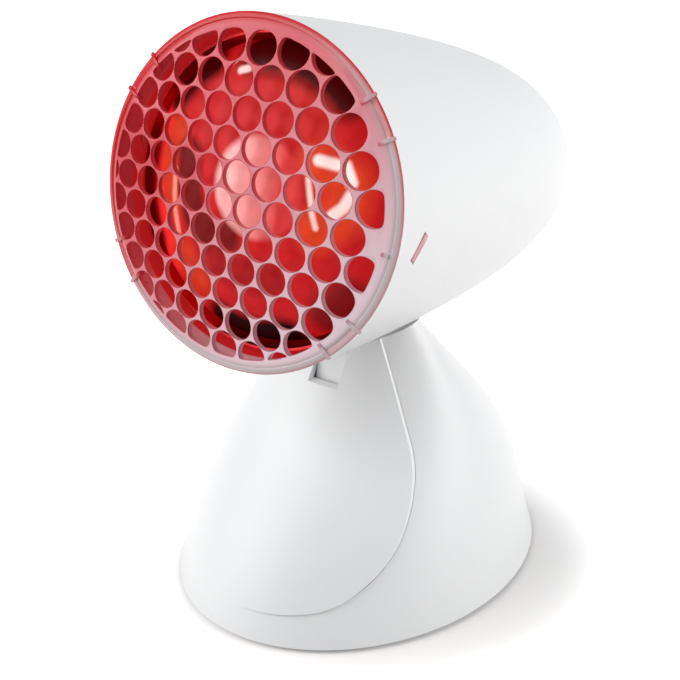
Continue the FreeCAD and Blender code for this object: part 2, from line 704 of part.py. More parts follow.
def stand_loft(name, grow):
    """The stand's outside as a solid, grown or shrunk level by level."""
    half_width = size("foot_width") / 2
    half_depth = size("foot_depth") / 2
    wires = []
    for height, width, front, back in levels:
        across = half_width * width + grow
        along = half_depth * (front + back) / 2 + grow
        middle = half_depth * (back - front) / 2
        matrix = FreeCAD.Matrix()
        matrix.scale(across, along, 1)
        matrix.move(Vector(0, middle, stand_height * height))
        circle = Part.makeCircle(1)
        circle.rotate(Vector(), Vector(0, 0, 1), seam_turn)
        wires.append(Part.Wire(circle.transformGeometry(matrix)))
    return form(name, Part.makeLoft(wires, True, False))


def egg(name, grow, split):
    """The front cover's outline, seen from the front, carried back to a plane."""
    centre_x = size("cover_half_width") - size("cover_corner")
    centre_z = size("cover_wide_height")
    corner = size("cover_corner")
    rise = centre_z - size("cover_bottom")
    low_radius = (centre_x ** 2 + rise ** 2 - corner ** 2) / (2 * (rise - corner))
    low_centre = size("cover_bottom") + low_radius
    side_centre = size("cover_half_width") - size("cover_side")

    def on_arc(x, z, radius, angle):
        reach = radius + grow
        return Vector(x + reach * math.cos(angle), 0, z + reach * math.sin(angle))

    join_angle = math.atan2(centre_z - low_centre, centre_x)
    top_angle = math.asin((size("cover_side_top") - centre_z) / size("cover_side"))
    low = on_arc(0, low_centre, low_radius, join_angle)
    wide = on_arc(centre_x, centre_z, corner, 0)
    top = on_arc(side_centre, centre_z, size("cover_side"), top_angle)
    climb = stand_height + 10 - top.z
    end = top + Vector(-climb * math.tan(top_angle), 0, climb)
    right = [
        Part.Arc(on_arc(0, low_centre, low_radius, -math.pi / 2),
                 on_arc(0, low_centre, low_radius, (join_angle - math.pi / 2) / 2), low),
        Part.Arc(low, on_arc(centre_x, centre_z, corner, join_angle / 2), wide),
        Part.Arc(wide, on_arc(side_centre, centre_z, size("cover_side"), top_angle / 2), top),
        Part.LineSegment(top, end),
        Part.LineSegment(end, Vector(0, 0, end.z)),
    ]
    edges = [curve.toShape() for curve in right]
    edges += [edge.mirror(Vector(), Vector(1, 0, 0)) for edge in edges]
    face = Part.Face(Part.Wire(Part.__sortEdges__(edges)))
    face.translate(Vector(0, -size("foot_depth"), 0))
    return form(name, face.extrude(Vector(0, size("foot_depth") + split, 0)))


def bell_sweep(name, gap):
    """Where the bell goes as the head tilts, with a gap all round."""
    rest = FreeCAD.Placement(Vector(0, -size("apex_front"), apex_up),
                             FreeCAD.Rotation(Vector(-1, 0, 0), size("rest_tilt")))
    bell = Part.Face(Part.Wire(Part.__sortEdges__(bell_outline(-gap, forward=9))))
    bell = bell.revolve(Vector(), Vector(0, 1, 0), 360)
    pivot = Vector(0, size("pivot_back"), pivot_up)
    sweeps = []
    for number, swing in enumerate((-size("tilt_range"), 0, size("tilt_range"))):
        turn = FreeCAD.Placement(Vector(), FreeCAD.Rotation(Vector(1, 0, 0), swing), pivot)
        copy = bell.copy()
        copy.Placement = turn.multiply(rest)
        sweeps.append(form(f"{name}{number}", copy))
    return join(name, *sweeps)


stand_outer = stand_loft("stand_outer", 0)
stand_proud = stand_loft("stand_proud", size("cover_proud"))
stand_inner = stand_loft("stand_inner", -stand_wall)
under_seat = bell_sweep("under_seat", size("seat_gap") + stand_wall)
seat = bell_sweep("seat", size("seat_gap"))
stand_cavity = cut("stand_cavity", stand_inner, under_seat)
half_depth = "sizes.foot_depth / 2"
floor_cut = block("floor_cut", "2 * sizes.foot_width", "2 * sizes.foot_depth",
                  "sizes.foot_lift - 0.3")
slot_width = "sizes.notch_width"
front_notch = block("front_notch", slot_width, half_depth, "sizes.stand_height", 0,
                    "sizes.pivot_back - sizes.foot_depth / 4",
                    "sizes.stand_height - sizes.notch_drop")
rear_slot = block("rear_slot", slot_width, half_depth, "sizes.stand_height", 0,
                  "sizes.pivot_back + sizes.foot_depth / 4",
                  "sizes.stand_height - sizes.rear_slot_drop")

# ---- stand shell -----------------------------------------------------------------------------

plate_bottom = "sizes.foot_lift"
plate_top = "sizes.foot_lift + sizes.base_thickness"
base_spots = [(side * x, y) for x, y in ((46, -22), (40, 36)) for side in (-1, 1)]
base_bosses = [rod(f"base_boss{number}", 4, 50, x, y, plate_top)
               for number, (x, y) in enumerate(base_spots)]
base_pilots = [rod(f"base_pilot{number}", "sizes.screw_radius", 10, x, y, plate_top)
               for number, (x, y) in enumerate(base_spots)]
gland_back = f"{gland_seat} - sizes.gland_inside"
gland_boss = rod("gland_boss", "sizes.gland_radius + 1.5", 10.5, 0, f"{gland_seat} - 10.5",
                 "sizes.inlet_height", "Y")
gland_hole = rod("gland_hole", "sizes.gland_radius", 20, 0, f"{gland_seat} - 15",
                 "sizes.inlet_height", "Y")
gland_pocket = rod("gland_pocket", "sizes.gland_flange + 0.4", 10, 0, gland_seat,
                   "sizes.inlet_height", "Y")


def on_switch(name, *pieces):
    """Pieces drawn at the switch: Y runs out of its face and Z up along it."""
    return tipped(name, 1, switch_back, "sizes.switch_height", "sizes.switch_lean", *pieces)


def face_box(name, width, length, inside, outside):
    """A box centred on the switch's face, between two distances out of it."""
    return block(name, width, f"({outside}) - ({inside})", length,
                 0, f"(({outside}) + ({inside})) / 2", f"-({length}) / 2")


switch_pad = on_switch("switch_pad", face_box(
    "pad_box", "sizes.switch_width + 4", "sizes.switch_length + 4", -4, 0))
switch_opening = on_switch("switch_opening", face_box(
    "opening_box", "sizes.switch_width", "sizes.switch_length", -9, 5))
switch_flat = on_switch("switch_flat", face_box(
    "flat_box", "sizes.switch_width + 4", "sizes.switch_length + 4", 0, 5))
shell_wall = cut("shell_wall", stand_outer, stand_cavity)
bosses = common("shell_bosses", join("boss_rods", *base_bosses), stand_outer)
shell_blank = join("shell_blank", shell_wall, bosses, gland_boss, switch_pad)
cover_room = egg("cover_room", cover_gap, 1 + cover_gap)
stand_node("stand_shell", cut("shell_finished", shell_blank, seat, floor_cut, cover_room,
                              front_notch, rear_slot, gland_hole, gland_pocket, switch_opening,
                              switch_flat,
                              *base_pilots))

# ---- front cover -----------------------------------------------------------------------------

column_front = "-sizes.column_depth / 2"
cover_spots = [(side * 8, height) for height in (18, f"{column_top} - 8") for side in (-1, 1)]
cover_rods = [rod(f"cover_rod{number}", 3.5, half_depth, x, f"{column_front} - ({half_depth})",
                  z, "Y") for number, (x, z) in enumerate(cover_spots)]
cover_pilots = [rod(f"cover_pilot{number}", "sizes.screw_radius", 9, x, f"{column_front} - 9",
                    z, "Y") for number, (x, z) in enumerate(cover_spots)]
cover_skin = common("cover_skin", cut("proud_wall", stand_proud, stand_cavity),
                    egg("cover_egg", 0, 1))
cover_bosses = common("cover_bosses", join("cover_rods", *cover_rods), stand_proud)
cover_whole = join("cover_whole", cover_skin, cover_bosses)
stand_node("front_cover", cut("cover_finished", cover_whole, seat, front_notch, *cover_pilots))
stand_node("cover_screws", screws("cover", [(x, f"{column_front} + sizes.column_wall", z)
                                            for x, z in cover_spots], 9, "Y", sign=-1))

# ---- base ------------------------------------------------------------------------------------

foot_radius = 6
foot_recess = 0.5
foot_spots = [(f"{x} * sizes.foot_width / 4", f"{y} * 0.3 * sizes.foot_depth")
              for x, y in ((-1, -1), (1, -1), (-1, 1), (1, 1), (0, 0))]
feet = [rod(f"foot{number}", foot_radius, f"sizes.foot_lift + {foot_recess}", x, y)
        for number, (x, y) in enumerate(foot_spots)]
column_spots = [(x, y) for x in (-17.5, 17.5) for y in (-12, 12)]
clamp_y = seat_back - size("gland_inside") - 6.5
block_depth = 12
block_y = clamp_y - 13.5
clamp_spots = ((-8, clamp_y), (8, clamp_y))
block_spots = ((-15, block_y), (15, block_y))
plate_slab = block("plate_slab", "2 * sizes.foot_width", "2 * sizes.foot_depth",
                   "sizes.base_thickness", 0, 0, plate_bottom)
plate_blank = common("base_blank", stand_loft("base_edge", -stand_wall - size("skirt_gap")),
                     plate_slab)
through_holes = [rod(f"base_hole{number}", "sizes.screw_radius + 0.2", 6, x, y)
                 for number, (x, y) in enumerate(base_spots + column_spots)]
plate_pilots = [rod(f"plate_pilot{number}", "sizes.screw_radius", 6, x, y, plate_bottom)
                for number, (x, y) in enumerate(clamp_spots + block_spots)]
stand_node("base_plate", cut("base_drilled", plate_blank, *feet, *through_holes, *plate_pilots))
stand_node("rubber_feet", group("feet", *feet))
stand_node("base_screws", screws("base", [(x, y, plate_bottom) for x, y in base_spots], 11))
stand_node("column_screws", screws("column", [(x, y, plate_bottom) for x, y in column_spots],
                                   5.5))

# ---- hinge column ----------------------------------------------------------------------------

pivot = ("sizes.pivot_back", pivot_height)
ear_inside = "(sizes.lug_width / 2 + 2 * sizes.side_play + sizes.washer_thickness)"
ear_outside = f"({ear_inside} + sizes.ear_thickness)"
inner_width = "(sizes.column_width - 2 * sizes.column_wall)"
inner_depth = "(sizes.column_depth - 2 * sizes.column_wall)"
column_box = block("column_box", "sizes.column_width", "sizes.column_depth",
                   f"{column_top} - ({plate_top})", 0, 0, plate_top)
column_hollow = block("column_hollow", inner_width, inner_depth,
                      f"{column_top} - sizes.column_wall - ({plate_top})", 0, 0, plate_top)
column_flange = block("column_flange", "sizes.column_width + 16", "sizes.column_depth + 4",
                      "sizes.column_foot", 0, 0, plate_top)
ears = []
for side in (-1, 1):
    start = f"-{ear_outside}" if side < 0 else ear_inside
    ears.append(rod(f"ear{side}", "sizes.ear_radius", "sizes.ear_thickness", start, *pivot, "X"))
    ears.append(block(f"ear_post{side}", "sizes.ear_thickness", "2 * sizes.ear_radius",
                      f"{pivot_height} - {column_top}",
                      f"{side} * ({ear_inside} + {ear_outside}) / 2", pivot[0], column_top))
spring_seat = f"{pivot_height} - sizes.lug_radius - 1.1"
spring_thickness = 0.5
seat_pad = block("seat_pad", 9, 7, f"{spring_seat} - {column_top}", 0, 14, column_top)
deck_hole = block("deck_hole", 8, 7, 20, 0, -12, f"{column_top} - 10")
rear_opening = block("rear_opening", 16, 12, f"14 - ({plate_top})", 0, "sizes.column_depth / 2", plate_top)
driver_holes = [rod(f"driver_hole{number}", "sizes.screw_head + 0.6", 8, x,
                    "sizes.column_depth / 2 - 4", z, "Y")
                for number, (x, z) in enumerate(cover_spots)]
cover_holes = [rod(f"cover_hole{number}", "sizes.screw_radius + 0.2", 8, x,
                   f"{column_front} - 2", z, "Y") for number, (x, z) in enumerate(cover_spots)]
pin_hole = rod("pin_hole", "sizes.pin_radius", 40, -20, *pivot, "X")
flange_pilots = [rod(f"flange_pilot{number}", "sizes.screw_radius", 6, x, y, plate_bottom)
                 for number, (x, y) in enumerate(column_spots)]
detent_spot = (0, 13, f"{spring_seat} + {spring_thickness}")
detent_pilot = rod("detent_pilot", "sizes.screw_radius", 8, 0, 13, f"{spring_seat} - 7")
column_whole = join("column_whole", column_box, column_flange, seat_pad, *ears)
stand_node("hinge_column", cut("column_finished", column_whole, column_hollow, deck_hole,
                               rear_opening, pin_hole, detent_pilot, *driver_holes,
                               *cover_holes, *flange_pilots))
pin_head = 2
pin_shank = rod("pin_shank", "sizes.pin_radius", f"2 * {ear_outside} + 2",
                f"-{ear_outside}", *pivot, "X")
pin_cap = rod("pin_cap", "sizes.pin_radius + 2", pin_head, f"-{ear_outside} - {pin_head}",
              *pivot, "X")
stand_node("hinge_pin", join("pin_whole", pin_shank, pin_cap))
clip_disc = rod("clip_disc", "sizes.pin_radius + 2", 0.8, ear_outside, *pivot, "X")
stand_node("pin_clip", cut("clip_ring", clip_disc, pin_hole))
washer_hole = rod("washer_hole", "sizes.pin_radius + sizes.running_gap", 40, -20, *pivot, "X")
washers = []
for side in (-1, 1):
    start = f"{side} * (sizes.lug_width / 2 + sizes.side_play)"
    if side < 0:
        start += " - sizes.washer_thickness"
    washer = rod(f"washer{side}", "sizes.washer_radius", "sizes.washer_thickness", start,
                 *pivot, "X")
    washers.append(cut(f"washer_ring{side}", washer, washer_hole))
stand_node("pivot_washers", group("washer_pair", *washers))

leaf = block("leaf", 8, 17, spring_thickness, 0, 8.5, spring_seat)
bump = rod("bump", notch_radius - 0.05, 8, -4, "sizes.pivot_back",
           f"{pivot_height} - sizes.lug_radius", "X")
leaf_hole = rod("leaf_hole", "sizes.screw_radius", 4, 0, 13, f"{spring_seat} - 1")
stand_node("detent_spring", cut("spring_drilled", join("spring_whole", leaf, bump), leaf_hole))
stand_node("detent_screw", screws("detent", [detent_spot], 5, sign=-1))

# ---- wiring in the stand ---------------------------------------------------------------------

swing_lead_y = -12.3
swing_lead_top = pivot_up - 14
splice_height = 24
run_height = 9.5
block_front = block_y - block_depth / 2
flex_leads = []
stand_leads = []
for side in (-1, 1):
    x = side * lead_spread
    flex_leads.append(rod(f"flex_lead{side}", "sizes.lead_radius",
                          swing_lead_top - splice_height, x, swing_lead_y, splice_height))
    route = [(x, swing_lead_y, splice_height), (x, swing_lead_y, run_height),
             (x, block_front, run_height)]
    stand_leads.append(form(f"stand_lead{side}", lead(route, lead_radius, 2.5)))
stand_node("flex_leads", group("flex_lead_pair", *flex_leads))
stand_node("stand_leads", group("stand_lead_pair", *stand_leads))

block_top = 15
block_body = block("block_body", 22, block_depth, f"{block_top} - ({plate_top})", 0, block_y,
                   plate_top)
block_lugs = block("block_lugs", 38, 8, 2.5, 0, block_y, plate_top)
block_holes = [rod(f"block_hole{number}", "sizes.screw_radius + 0.2", 10, x, y, plate_bottom)
               for number, (x, y) in enumerate(block_spots)]
stand_node("terminal_block", cut("block_drilled", join("block_whole", block_body, block_lugs),
                                 *block_holes))
terminal_screws = [rod(f"terminal_screw{number}", 1.5, 1, x, block_front + 2, block_top)
                   for number, x in enumerate((-7.5, -2.5, 2.5, 7.5))]
stand_node("terminal_screws", group("terminal_screw_set", *terminal_screws))
stand_node("block_screws", screws("block", [(x, y, f"{plate_top} + 2.5")
                                            for x, y in block_spots], 4.5, sign=-1))

clamp_top = 17.5
clamp_bar = block("clamp_bar", 24, 7, f"{clamp_top} - ({plate_top})", 0, clamp_y, plate_top)
clamp_bore = rod("clamp_bore", "sizes.inlet_bore", 20, 0, clamp_y - 10, "sizes.inlet_height",
                 "Y")
clamp_slot = block("clamp_slot", "2 * sizes.inlet_bore", 20, f"sizes.inlet_height", 0, clamp_y)
clamp_holes = [rod(f"clamp_hole{number}", "sizes.screw_radius + 0.2", 20, x, y, plate_bottom)
               for number, (x, y) in enumerate(clamp_spots)]
stand_node("cord_clamp", cut("clamp_finished", clamp_bar, clamp_bore, clamp_slot, *clamp_holes))
stand_node("clamp_screws", screws("clamp", [(x, y, clamp_top) for x, y in clamp_spots],
                                  15, sign=-1))
gland_neck = rod("gland_neck", "sizes.gland_radius", "sizes.gland_inside", 0, gland_back,
                 "sizes.inlet_height", "Y")
gland_lip = rod("gland_lip", "sizes.gland_flange", "sizes.gland_lip", 0, gland_seat,
                "sizes.inlet_height", "Y")
gland_bore = rod("gland_bore", "sizes.inlet_bore", 20, 0, f"{gland_back} - 2",
                 "sizes.inlet_height", "Y")
stand_node("cord_gland", cut("gland_finished", join("gland_whole", gland_neck, gland_lip),
                             gland_bore))

# ---- rocker switch ---------------------------------------------------------------------------

housing_wall = 0.7
rocker_room = 8
axle_depth = 3
rocker_width = f"sizes.switch_width - 0.2 - 2 * ({housing_wall} + sizes.rocker_gap)"
housing_shell = face_box("housing_box", "sizes.switch_width - 0.2", "sizes.switch_length - 0.2",
                         "-sizes.switch_depth", 0)
bezel = face_box("bezel", "sizes.switch_width + 3", "sizes.switch_length + 3", 0, 1.2)
rocker_bay = face_box("rocker_bay", f"sizes.switch_width - 0.2 - 2 * {housing_wall}",
                      f"sizes.switch_length - 0.2 - 2 * {housing_wall}", -rocker_room, 2)
axle_hole = rod("axle_hole", "1.2 + sizes.running_gap", 12.6, -6.3, -axle_depth, 0, "X")
stand_node("switch_housing", on_switch("switch_at_back", cut(
    "housing_finished", join("housing_whole", housing_shell, bezel), rocker_bay, axle_hole)))
blades = [block(f"blade{side}", 0.8, 5, 4.8, side * 3.2, "-sizes.switch_depth - 2.5", -2.4)
          for side in (-1, 1)]
stand_node("switch_tabs", on_switch("blades_at_back", *blades))

lean = math.radians(size("switch_lean"))
rocker_half = 8
rocker_edge = 3.9
rocker_crown = 5
rocker_side = [Vector(-5.4, back, up) for up, back in (
    (-rocker_half, -0.5), (rocker_half, -0.5), (rocker_half, rocker_edge), (0, rocker_crown),
    (-rocker_half, rocker_edge), (-rocker_half, -0.5))]
rocker_slab = doc.addObject("Part::Extrusion", "rocker_slab")
rocker_slab.Base = form("rocker_section", Part.Face(Part.makePolygon(rocker_side)))
rocker_slab.Dir = Vector(1, 0, 0)
rocker_slab.Solid = True
bind(rocker_slab, {"LengthFwd": rocker_width})
axle = rod("axle", 1.2, 12.4, -6.2, 0, 0, "X")
stand_node("switch_rocker", tipped(
    "rocker_off", 1, switch_face - axle_depth * math.cos(lean),
    size("switch_height") - axle_depth * math.sin(lean),
    "sizes.switch_lean - sizes.rocker_throw / 2", join("rocker_whole", rocker_slab, axle)))

blade_end = size("switch_depth") + 5
tab_y = switch_face - blade_end * math.cos(lean)
tab_z = size("switch_height") - blade_end * math.sin(lean)
switch_leads = []
for side in (-1, 1):
    x = side * 3.2
    route = [(x, tab_y, tab_z), (x, tab_y - 7 * math.cos(lean), tab_z - 7 * math.sin(lean)),
             (x, tab_y - 7 * math.cos(lean), block_top)]
    switch_leads.append(form(f"switch_lead{side}", lead(route, lead_radius, 2.5)))
stand_node("switch_leads", group("switch_lead_pair", *switch_leads))

# ---- write the pieces ------------------------------------------------------------------------

doc.recompute()
for thing in doc.Objects:
    if "Invalid" in thing.State or "Error" in thing.State:
        raise RuntimeError(f"{thing.Name} failed: {thing.State}")
for label, thing in nodes:
    shape = thing.Shape
    if shape.isNull() or not shape.isValid() or not shape.Solids:
        raise RuntimeError(f"{label} has no sound solid")
    shape.exportStep(f"parts/{label}.step")
    print(f"{label}: {len(shape.Solids)} solids, {shape.Volume:.0f} mm3")
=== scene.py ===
import math
import bmesh
import bpy
import numpy as np
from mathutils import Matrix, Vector


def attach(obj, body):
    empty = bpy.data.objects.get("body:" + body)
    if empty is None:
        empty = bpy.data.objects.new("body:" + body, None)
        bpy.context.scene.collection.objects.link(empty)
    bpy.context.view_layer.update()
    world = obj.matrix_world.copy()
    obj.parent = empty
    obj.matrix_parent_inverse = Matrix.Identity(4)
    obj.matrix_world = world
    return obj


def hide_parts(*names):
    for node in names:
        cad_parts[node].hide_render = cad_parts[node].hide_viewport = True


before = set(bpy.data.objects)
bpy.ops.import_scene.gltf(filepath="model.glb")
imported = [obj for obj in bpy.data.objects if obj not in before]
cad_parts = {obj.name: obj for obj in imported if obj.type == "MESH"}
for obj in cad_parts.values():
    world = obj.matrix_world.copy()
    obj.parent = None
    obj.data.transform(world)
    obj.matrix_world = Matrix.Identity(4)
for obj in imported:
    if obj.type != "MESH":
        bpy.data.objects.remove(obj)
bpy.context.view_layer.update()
print("frame:", len(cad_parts), "CAD nodes")

view = {
    "place": (0.3155, -0.4763, 0.3561),  # metres
    "target": (0.0404, -0.0722, 0.1229),
    "lens": 95.29,                       # millimetres
    "sensor": 36.0,
    "clip": 0.01,                        # nearest thing seen, metres
}


def aimed(place, target):
    # the turn that points a camera or a lamp from a place to a target
    return (Vector(target) - Vector(place)).to_track_quat("-Z", "Y").to_euler()


def makeCamera():
    camera = bpy.data.objects.new("camera", bpy.data.cameras.new("camera"))
    camera.data.lens = view["lens"]
    camera.data.sensor_width = view["sensor"]
    camera.data.clip_start = view["clip"]
    camera.location = view["place"]
    camera.rotation_euler = aimed(view["place"], view["target"])
    bpy.context.scene.collection.objects.link(camera)
    bpy.context.scene.camera = camera


makeCamera()
print("camera: lens", view["lens"], "mm")

head = {
    "apex": (0.0, -69.7, 159.2),  # front of the grille's dome, in millimetres
    "tilt": 12.5,                 # degrees that the head looks up
    "ring": 56.0,                 # grille ring and bell mouth, radius
    "mouth": 7.3,                 # from the apex back to the bell's mouth
    "wall": 2.2,
}


def toRow(points):
    # from the head's axis to the row frame: a turn about x by the tilt, a shift to the apex,
    # and millimetres to metres
    lean = math.radians(head["tilt"])
    x, y, z = np.asarray(points, float).T
    apex = head["apex"]
    return np.stack([x + apex[0], y * math.cos(lean) + z * math.sin(lean) + apex[1],
                     z * math.cos(lean) - y * math.sin(lean) + apex[2]], 1) / 1000


def newMaterial(name):
    material = bpy.data.materials.new(name)
    material.use_nodes = True
    nodes, links = material.node_tree.nodes, material.node_tree.links
    return material, nodes, links, nodes["Principled BSDF"]


def give(links, node, values):
    # each socket gets a link, or a number, place or colour of its own
    for name, value in values.items():
        socket = node.inputs[name]
        if isinstance(value, bpy.types.NodeSocket):
            links.new(value, socket)
        elif socket.type == "RGBA":
            socket.default_value = (*value, 1)
        else:
            socket.default_value = value


def mathNode(nodes, links, operation, first, second):
    # one step of arithmetic on two numbers
    node = nodes.new("ShaderNodeMath")
    node.operation = operation
    give(links, node, {0: first, 1: second})
    return node.outputs[0]


def vectorNode(nodes, links, operation, first, second):
    # a difference is a vector, a dot product or a distance is a number
    node = nodes.new("ShaderNodeVectorMath")
    node.operation = operation
    give(links, node, {0: first, 1: second})
    return node.outputs["Vector" if operation == "SUBTRACT" else "Value"]


def mapRange(nodes, links, source, ends, span=None):
    # carries a value from 0 to 1, or smoothly from a span, to its two ends
    node = nodes.new("ShaderNodeMapRange")
    give(links, node, {"Value": source, "To Min": ends[0], "To Max": ends[1]})
    if span:
        node.interpolation_type = "SMOOTHSTEP"
        give(links, node, {"From Min": span[0], "From Max": span[1]})
    return node.outputs["Result"]


def mixColours(nodes, links, share, first, second):
    # goes from the first colour to the second as the share goes from 0 to 1
    node = nodes.new("ShaderNodeMix")
    node.data_type = "RGBA"
    give(links, node, {"Factor": share, "A": first, "B": second})
    return node.outputs["Result"]


def addNoise(nodes, links, scale, detail=2.0):
    # noise on the piece's own coordinates
    place = nodes.new("ShaderNodeTexCoord").outputs["Object"]
    noise = nodes.new("ShaderNodeTexNoise")
    give(links, noise, {"Vector": place, "Scale": scale, "Detail": detail})
    return noise.outputs["Fac"]


def addMark(nodes, name):
    # reads the values that a piece carries per point
    reader = nodes.new("ShaderNodeAttribute")
    reader.attribute_name = name
    return reader


plastic = {
    "index": 1.49,
    "mottle": 14.0,         # noise scale of the colour
    "grain": 900.0,         # noise scale of the surface
    "detail": 3.0,
    "gloss": (0.8, 1.2),    # shares of the roughness that the grain moves between
    "relief": 0.0002,       # depth of the grain, metres
    "coatRoughness": 0.08,
}


def moulded(name, colour, tint, roughness, bump=0.02, coat=0.0):
    # moulded plastic: a faint mottle of colour and gloss and a fine grain in the surface
    material, nodes, links, shader = newMaterial(name)
    give(links, shader, {"Roughness": roughness, "IOR": plastic["index"], "Coat Weight": coat,
                         "Coat Roughness": plastic["coatRoughness"]})
    mottle = addNoise(nodes, links, plastic["mottle"])
    fine = addNoise(nodes, links, plastic["grain"], plastic["detail"])
    gloss = [roughness * share for share in plastic["gloss"]]
    relief = nodes.new("ShaderNodeBump")
    give(links, relief, {"Strength": bump, "Distance": plastic["relief"], "Height": fine})
    give(links, shader, {"Base Color": mixColours(nodes, links, mottle, colour, tint),
                         "Roughness": mapRange(nodes, links, fine, gloss),
                         "Normal": relief.outputs["Normal"]})
    return material


# painted red lamp light on the bell's inner wall: its colour and the strength of its glow
redLight = {
    "depth": 0.08,          # metres behind the grille's apex
    "reach": 0.0543,        # metres from the bell's axis, within its wall
    "colour": (0.6, 0.02, 0.025),
    "glow": 0.35,
}


def paintedRedLightInside(material):
    # painted red lamp light on a bell's inner wall, as colour and a glow: where the surface
    # faces the bell's axis, within a depth behind the apex and a reach from the axis; the side
    # it faces is the normal times the place, less the parts of both that lie along the axis
    nodes, links = material.node_tree.nodes, material.node_tree.links
    shader = nodes["Principled BSDF"]
    tilt = math.radians(head["tilt"])
    axis = (0, math.cos(tilt), -math.sin(tilt))
    apex = [value / 1000 for value in head["apex"]]
    place = nodes.new("ShaderNodeTexCoord")
    normal = place.outputs["Normal"]
    away = vectorNode(nodes, links, "SUBTRACT", place.outputs["Object"], apex)
    along = vectorNode(nodes, links, "DOT_PRODUCT", away, axis)
    facing = vectorNode(nodes, links, "DOT_PRODUCT", normal, axis)
    outward = mathNode(nodes, links, "SUBTRACT",
                       vectorNode(nodes, links, "DOT_PRODUCT", away, normal),
                       mathNode(nodes, links, "MULTIPLY", along, facing))
    square = mathNode(nodes, links, "SUBTRACT",
                      vectorNode(nodes, links, "DOT_PRODUCT", away, away),
                      mathNode(nodes, links, "MULTIPLY", along, along))
    share = mathNode(nodes, links, "LESS_THAN", outward, 0.0)
    for value, limit in ((square, redLight["reach"] ** 2), (along, redLight["depth"])):
        within = mathNode(nodes, links, "LESS_THAN", value, limit)
        share = mathNode(nodes, links, "MULTIPLY", share, within)
    white = shader.inputs["Base Color"].links[0].from_socket
    glow = mathNode(nodes, links, "MULTIPLY", share, redLight["glow"])
    give(links, shader, {
        "Base Color": mixColours(nodes, links, share, white, redLight["colour"]),
        "Emission Color": redLight["colour"], "Emission Strength": glow})
    return material


metalMarks = {
    "scale": 600.0,         # noise scale of the fine drawn or turned marks
    "detail": 4.0,
    "gloss": (0.7, 1.4),    # shares of the roughness that the marks move between
}


def metal(name, colour, roughness):
    # plain metal whose gloss changes along its marks
    material, nodes, links, shader = newMaterial(name)
    give(links, shader, {"Base Color": colour, "Metallic": 1.0, "Roughness": roughness})
    marks = addNoise(nodes, links, metalMarks["scale"], metalMarks["detail"])
    gloss = [roughness * share for share in metalMarks["gloss"]]
    give(links, shader, {"Roughness": mapRange(nodes, links, marks, gloss)})
    return material


clearLook = {
    # the emission gives the painted red light a faint glow
    "surface": {"Roughness": 0.12, "IOR": 1.49, "Transmission Weight": 0.05,
                "Specular IOR Level": 0.2, "Coat Weight": 0.07, "Coat Roughness": 0.05,
                "Emission Strength": 0.15},
    # painted red lamp light: each part's span from upper left to lower right, as x less z in
    # metres, and its colours before and after that span; the hole wall's colours are painted
    # shade
    "face": ((-0.2, -0.07), (0.62, 0.075, 0.095), (0.8, 0.64, 0.7)),
    "paintedWallShade": ((-0.16, -0.07), (0.5, 0.02, 0.03), (0.3, 0.14, 0.17)),
    "rim": ((-0.22, -0.12), (0.55, 0.006, 0.01), (0.54, 0.46, 0.48)),
    "skirt": ((-0.15, -0.08), (0.6, 0.01, 0.02), (0.6, 0.3, 0.33)),
    "ripple": 300.0,        # noise scale of the gloss
    "gloss": (0.07, 0.16),
}


def clearPlasticPaintedLight(name):
    # clear plastic with painted red light from the lamp behind it, in its colour and a faint
    # glow:
    # pink where it faces the lamp, greyer towards the lower right, with painted shade in dark
    # red to grey on each hole's wall, and a grey-white ring
    material, nodes, links, shader = newMaterial(name)
    give(links, shader, clearLook["surface"])
    split = nodes.new("ShaderNodeSeparateXYZ")
    give(links, split, {"Vector": nodes.new("ShaderNodeTexCoord").outputs["Object"]})
    slant = mathNode(nodes, links, "SUBTRACT", split.outputs["X"], split.outputs["Z"])

    def zone(part):
        span, before, after = clearLook[part]
        share = mapRange(nodes, links, slant, (0, 1), span)
        return mixColours(nodes, links, share, before, after)

    # the face's painted red light, then by their marks the painted shade of the hole wall and
    # the painted red light of the ring and the skirt
    tone = zone("face")
    for mark, part in (("wall", "paintedWallShade"), ("ring", "rim"), ("seam", "skirt")):
        share = mapRange(nodes, links, addMark(nodes, mark).outputs["Fac"], (0, 1), (0, 1))
        tone = mixColours(nodes, links, share, tone, zone(part))
    ripple = addNoise(nodes, links, clearLook["ripple"])
    give(links, shader, {"Base Color": tone, "Emission Color": tone,
                         "Roughness": mapRange(nodes, links, ripple, clearLook["gloss"])})
    return material


litLook = {
    "surface": {"Roughness": 0.4, "IOR": 1.5, "Specular IOR Level": 0.12,
                "Emission Strength": 0.42},
    "stipple": 420.0,       # noise scale of the pressed glass
    "detail": 3.0,
    "shade": (0.86, 1.1),   # shares of the colour that the stipple moves between
}


def litGlass(name):
    # coated glass of a burning infrared lamp: its colour and its glow follow the glow mark,
    # which holds painted highlights, reflections and shade, with a faint stipple from the
    # pressed glass
    material, nodes, links, shader = newMaterial(name)
    give(links, shader, litLook["surface"])
    stipple = addNoise(nodes, links, litLook["stipple"], litLook["detail"])
    tone = nodes.new("ShaderNodeVectorMath")
    tone.operation = "SCALE"
    give(links, tone, {"Vector": addMark(nodes, "glow").outputs["Color"],
                       "Scale": mapRange(nodes, links, stipple, litLook["shade"])})
    give(links, shader, {"Base Color": tone.outputs["Vector"],
                         "Emission Color": tone.outputs["Vector"]})
    return material


